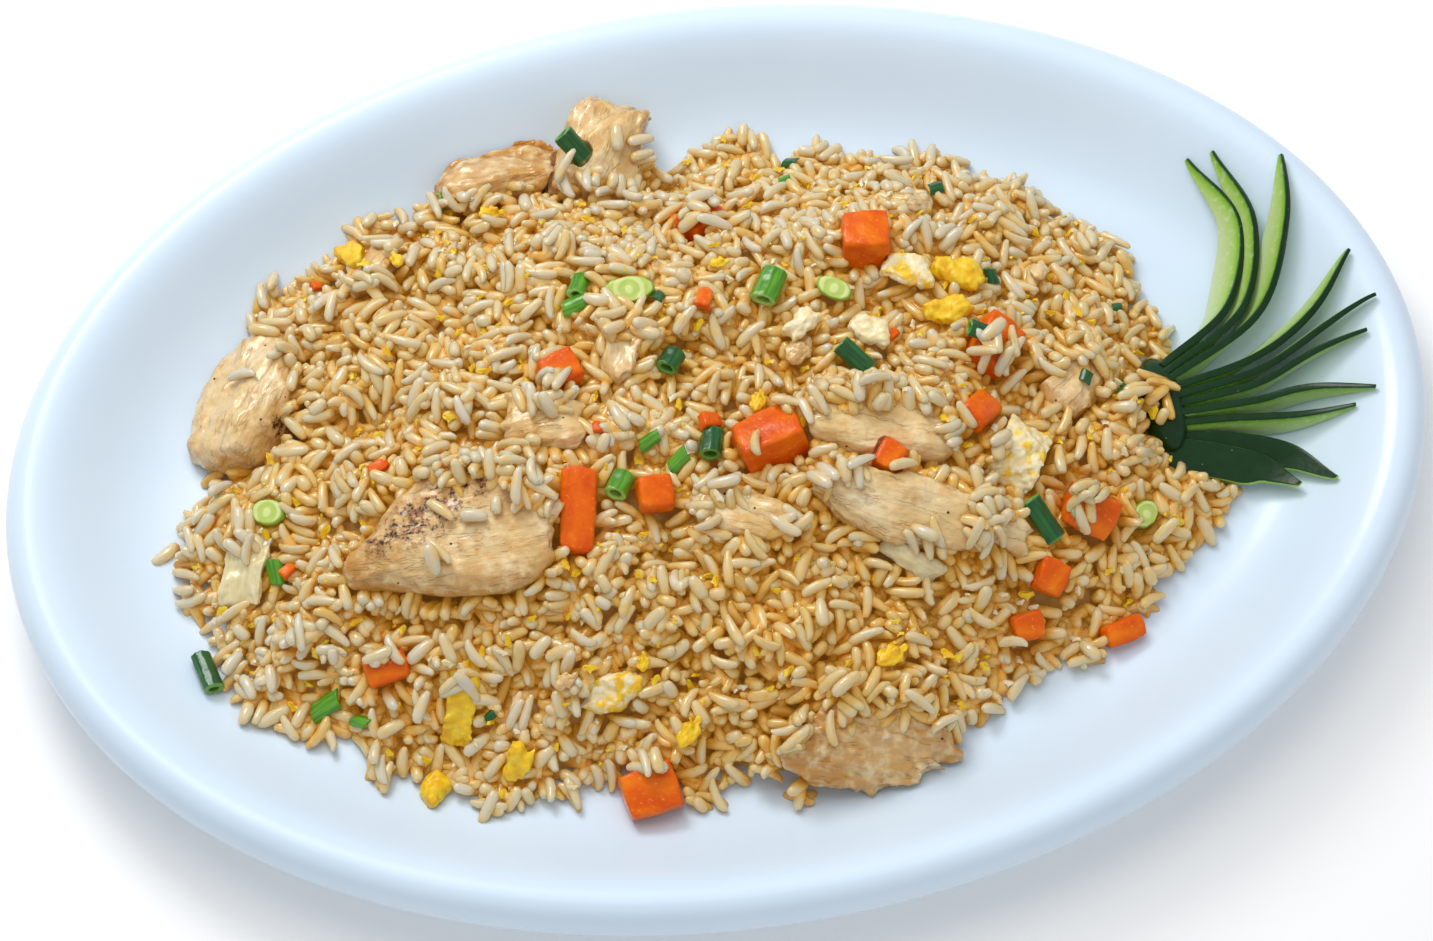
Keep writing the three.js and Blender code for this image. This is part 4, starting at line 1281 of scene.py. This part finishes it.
print("vegetables and egg")
toppingLooks = {
    "carrot": {"voxel": 0.6, "smooth": 5, "clouds": (5, 0.5), "fine": (1.5, 0.15)},
    "scallion": {"voxel": 0.34, "smooth": 3, "clouds": (4, 0.5), "fine": (1.0, 0.1)},
    "egg": {"voxel": 0.5, "smooth": 1, "clouds": (3.2, 2.0), "fine": (1.2, 0.7)},
    "onion": {"voxel": 0.4, "smooth": 3, "clouds": (7, 3.4), "fine": (2.5, 0.5)},
}
stalkSlices = ("scallion_13", "scallion_14", "scallion_15", "scallion_16")
darkLeaves = ("scallion_01", "scallion_03", "scallion_05", "scallion_07", "scallion_08", "scallion_09",
              "scallion_10", "scallion_11")
whiteShare = {"egg_03": 0.55, "egg_05": 0.5, "egg_08": 0.65, "egg_09": 0.9, "egg_10": 0.55}


def makeTopping(node):
    kind = node.split("_")[0]
    look = toppingLooks[kind]
    piece = copyOf(node, kind + "Piece" + node.split("_")[1])
    lie = lieOf(piece)
    change(piece, "REMESH", mode="VOXEL", voxel_size=look["voxel"] * mm)
    change(piece, "SMOOTH", factor=0.5, iterations=look["smooth"])
    roughen(piece, lie, *look["clouds"])
    roughen(piece, lie, *look["fine"])
    own = giveOwn(piece, lie)
    half = np.abs(own).max(0)
    if kind == "carrot":
        finishPiece(piece, carrot, "carrot", node)
    elif node in stalkSlices:
        edge = np.hypot(own[:, 0] / half[0], own[:, 1] / half[1])
        giveShare(piece, "inner", 1 - np.clip((edge - 0.8) / 0.15, 0, 1))
        finishPiece(piece, stalk, "scallion_pale", node)
    elif kind == "scallion":
        isEnd = np.clip((np.abs(own[:, 0]) / half[0] - 0.88) / 0.08, 0, 1)
        isBore = np.hypot(own[:, 1] / half[1], own[:, 2] / half[2]) < 0.72
        giveShare(piece, "inner", np.maximum(isEnd, isBore) * 0.8)
        finishPiece(piece, darkLeaf if node in darkLeaves else brightLeaf, "scallion_green", node)
    elif kind == "egg":
        giveShare(piece, "white", whiteShare.get(node, 0.12))
        finishPiece(piece, egg, "egg", node)
    else:
        finishPiece(piece, onion, "onion", node)


for node in sorted(solids):
    if node.split("_")[0] in toppingLooks:
        makeTopping(node)


# Cucumber fan: slices of one wedge, each standing on its cut edge

print("cucumber fan")
fan = {
    "along": 30, "down": 7, "depth": 9, "taper": 0.86, "thickness": 1.9, "tipThickness": 0.4, "rest": 0.8,
    "skinSlope": 0.62, "cutDepth": 0.2,
    "root": {"place": (112, -6.5, 12.5), "size": (12, 27, 11)},
}
blades = [
    {"path": [(114, 3), (135, 17), (143, 38), (134, 59)], "lean": 42},
    {"path": [(114, 0.7), (139, 16), (146, 37), (140, 58)], "lean": 36},
    {"path": [(114, -1.6), (143, 14), (153, 33), (156, 51)], "lean": 36},
    {"path": [(114, -3.9), (138, 1), (155, 9), (166, 21)], "lean": 28},
    {"path": [(114, -6.2), (137, -3), (155, 3), (169, 7)], "lean": 20},
    {"path": [(114, -8.5), (136, -6.5), (152, -2), (165, -1)], "lean": 12},
    {"path": [(114, -10.8), (134, -11), (149, -11), (163, -17)], "lean": 2},
    {"path": [(114, -13.1), (130, -14.5), (145, -17), (158, -19)], "lean": -4, "depth": 8},
    {"path": [(113, -14.5), (130, -17.5), (142, -24), (149, -37)], "lean": -62, "skinUp": True},
    {"path": [(112, -16), (124, -20), (135, -26), (141, -35)], "lean": -76, "raise": 2.2, "skinUp": True},
]


def spine(path, along):
    # the same curve as the solids' own: centripetal Catmull-Rom through the path's points
    points = [np.array(point, float) for point in path]
    first = 2 * points[0] - points[1]
    last = 2 * points[-1] - points[-2]
    whole = along * (len(points) - 1)
    part = min(int(whole), len(points) - 2)
    share = whole - part
    around = [first] + points + [last]
    p0, p1, p2, p3 = around[part:part + 4]
    d0, d1, d2 = [max(np.sum((b - a) ** 2) ** 0.25, 1e-4) for a, b in ((p0, p1), (p1, p2), (p2, p3))]
    t1 = ((p1 - p0) / d0 - (p2 - p0) / (d0 + d1) + (p2 - p1) / d1) * d1
    t2 = ((p2 - p1) / d1 - (p3 - p1) / (d1 + d2) + (p3 - p2) / d2) * d1
    c2 = -3 * p1 + 3 * p2 - 2 * t1 - t2
    c3 = 2 * p1 - 2 * p2 + t1 + t2
    return p1 + t1 * share + c2 * share ** 2 + c3 * share ** 3


def makeBlade(number, blade):
    bpy.ops.mesh.primitive_grid_add(x_subdivisions=fan["along"], y_subdivisions=fan["down"], size=1)
    piece = bpy.context.object
    piece.name = "cucumberSlice" + str(number)
    flat = pointsOf(piece) * mm
    points, thins, depths = [], [], []
    skinUp = blade.get("skinUp", False)
    for x, y in flat[:, :2]:
        along = x + 0.5
        down = 0.5 - y
        narrowing = 1 - fan["taper"] * max((along - 0.5) / 0.5, 0) ** 1.5
        depth = blade.get("depth", fan["depth"]) * narrowing
        thin = fan["tipThickness"] + (1 - fan["tipThickness"]) * narrowing
        lean = math.radians(blade["lean"])
        if not skinUp:
            lean *= float(smooth(np.array(along / 0.5)))
        here, ahead = spine(blade["path"], min(along, 0.999)), spine(blade["path"], min(along, 0.999) + 0.001)
        run = (ahead - here) / np.linalg.norm(ahead - here)
        left = np.array([-run[1], run[0], 0])
        inward = left * math.sin(lean) - np.array([0, 0, math.cos(lean)])
        here = spine(blade["path"], along)
        ground = float(platterTop(np.array(here[0]), np.array(here[1])))
        rest = abs(math.sin(lean)) * thin * fan["thickness"] / 2 + fan["rest"] + blade.get("raise", 0)
        skin = np.array([here[0], here[1], ground + rest + depth * math.cos(lean)])
        points.append(skin + inward * depth * down)
        thins.append(thin)
        depths.append(depth * down / fan["depth"])
    setPoints(piece, points)
    group = piece.vertex_groups.new(name="thin")
    for index, thin in enumerate(thins):
        group.add([index], thin, "REPLACE")
    giveShare(piece, "fleshDepth", depths)
    change(piece, "SOLIDIFY", thickness=fan["thickness"] * mm, offset=0, vertex_group="thin",
           use_even_offset=True)
    change(piece, "BEVEL", width=0.3 * mm, segments=2, limit_method="ANGLE")
    if skinUp:
        skinUpFaces(piece)
    return piece


def skinUpFaces(piece):
    # the broad upper face is skin, and the cut rim and underside are flesh
    shares = piece.data.attributes["fleshDepth"].data
    for share, vertex in zip(shares, piece.data.vertices):
        share.value = 0 if vertex.normal.z > fan["skinSlope"] else fan["cutDepth"]


def makeFan():
    root = fan["root"]
    bpy.ops.mesh.primitive_uv_sphere_add(segments=32, ring_count=16, radius=0.5,
                                         location=Vector(root["place"]) * mm)
    piece = named("cucumberFan", Vector(root["size"]) * mm)
    giveShare(piece, "fleshDepth", 0)
    slices = [makeBlade(number, blade) for number, blade in enumerate(blades)]
    activate(piece)
    for each in slices:
        each.select_set(True)
    bpy.ops.object.join()
    finishPiece(piece, cucumberPaint(), "cucumber", "cucumber_fan")


makeFan()
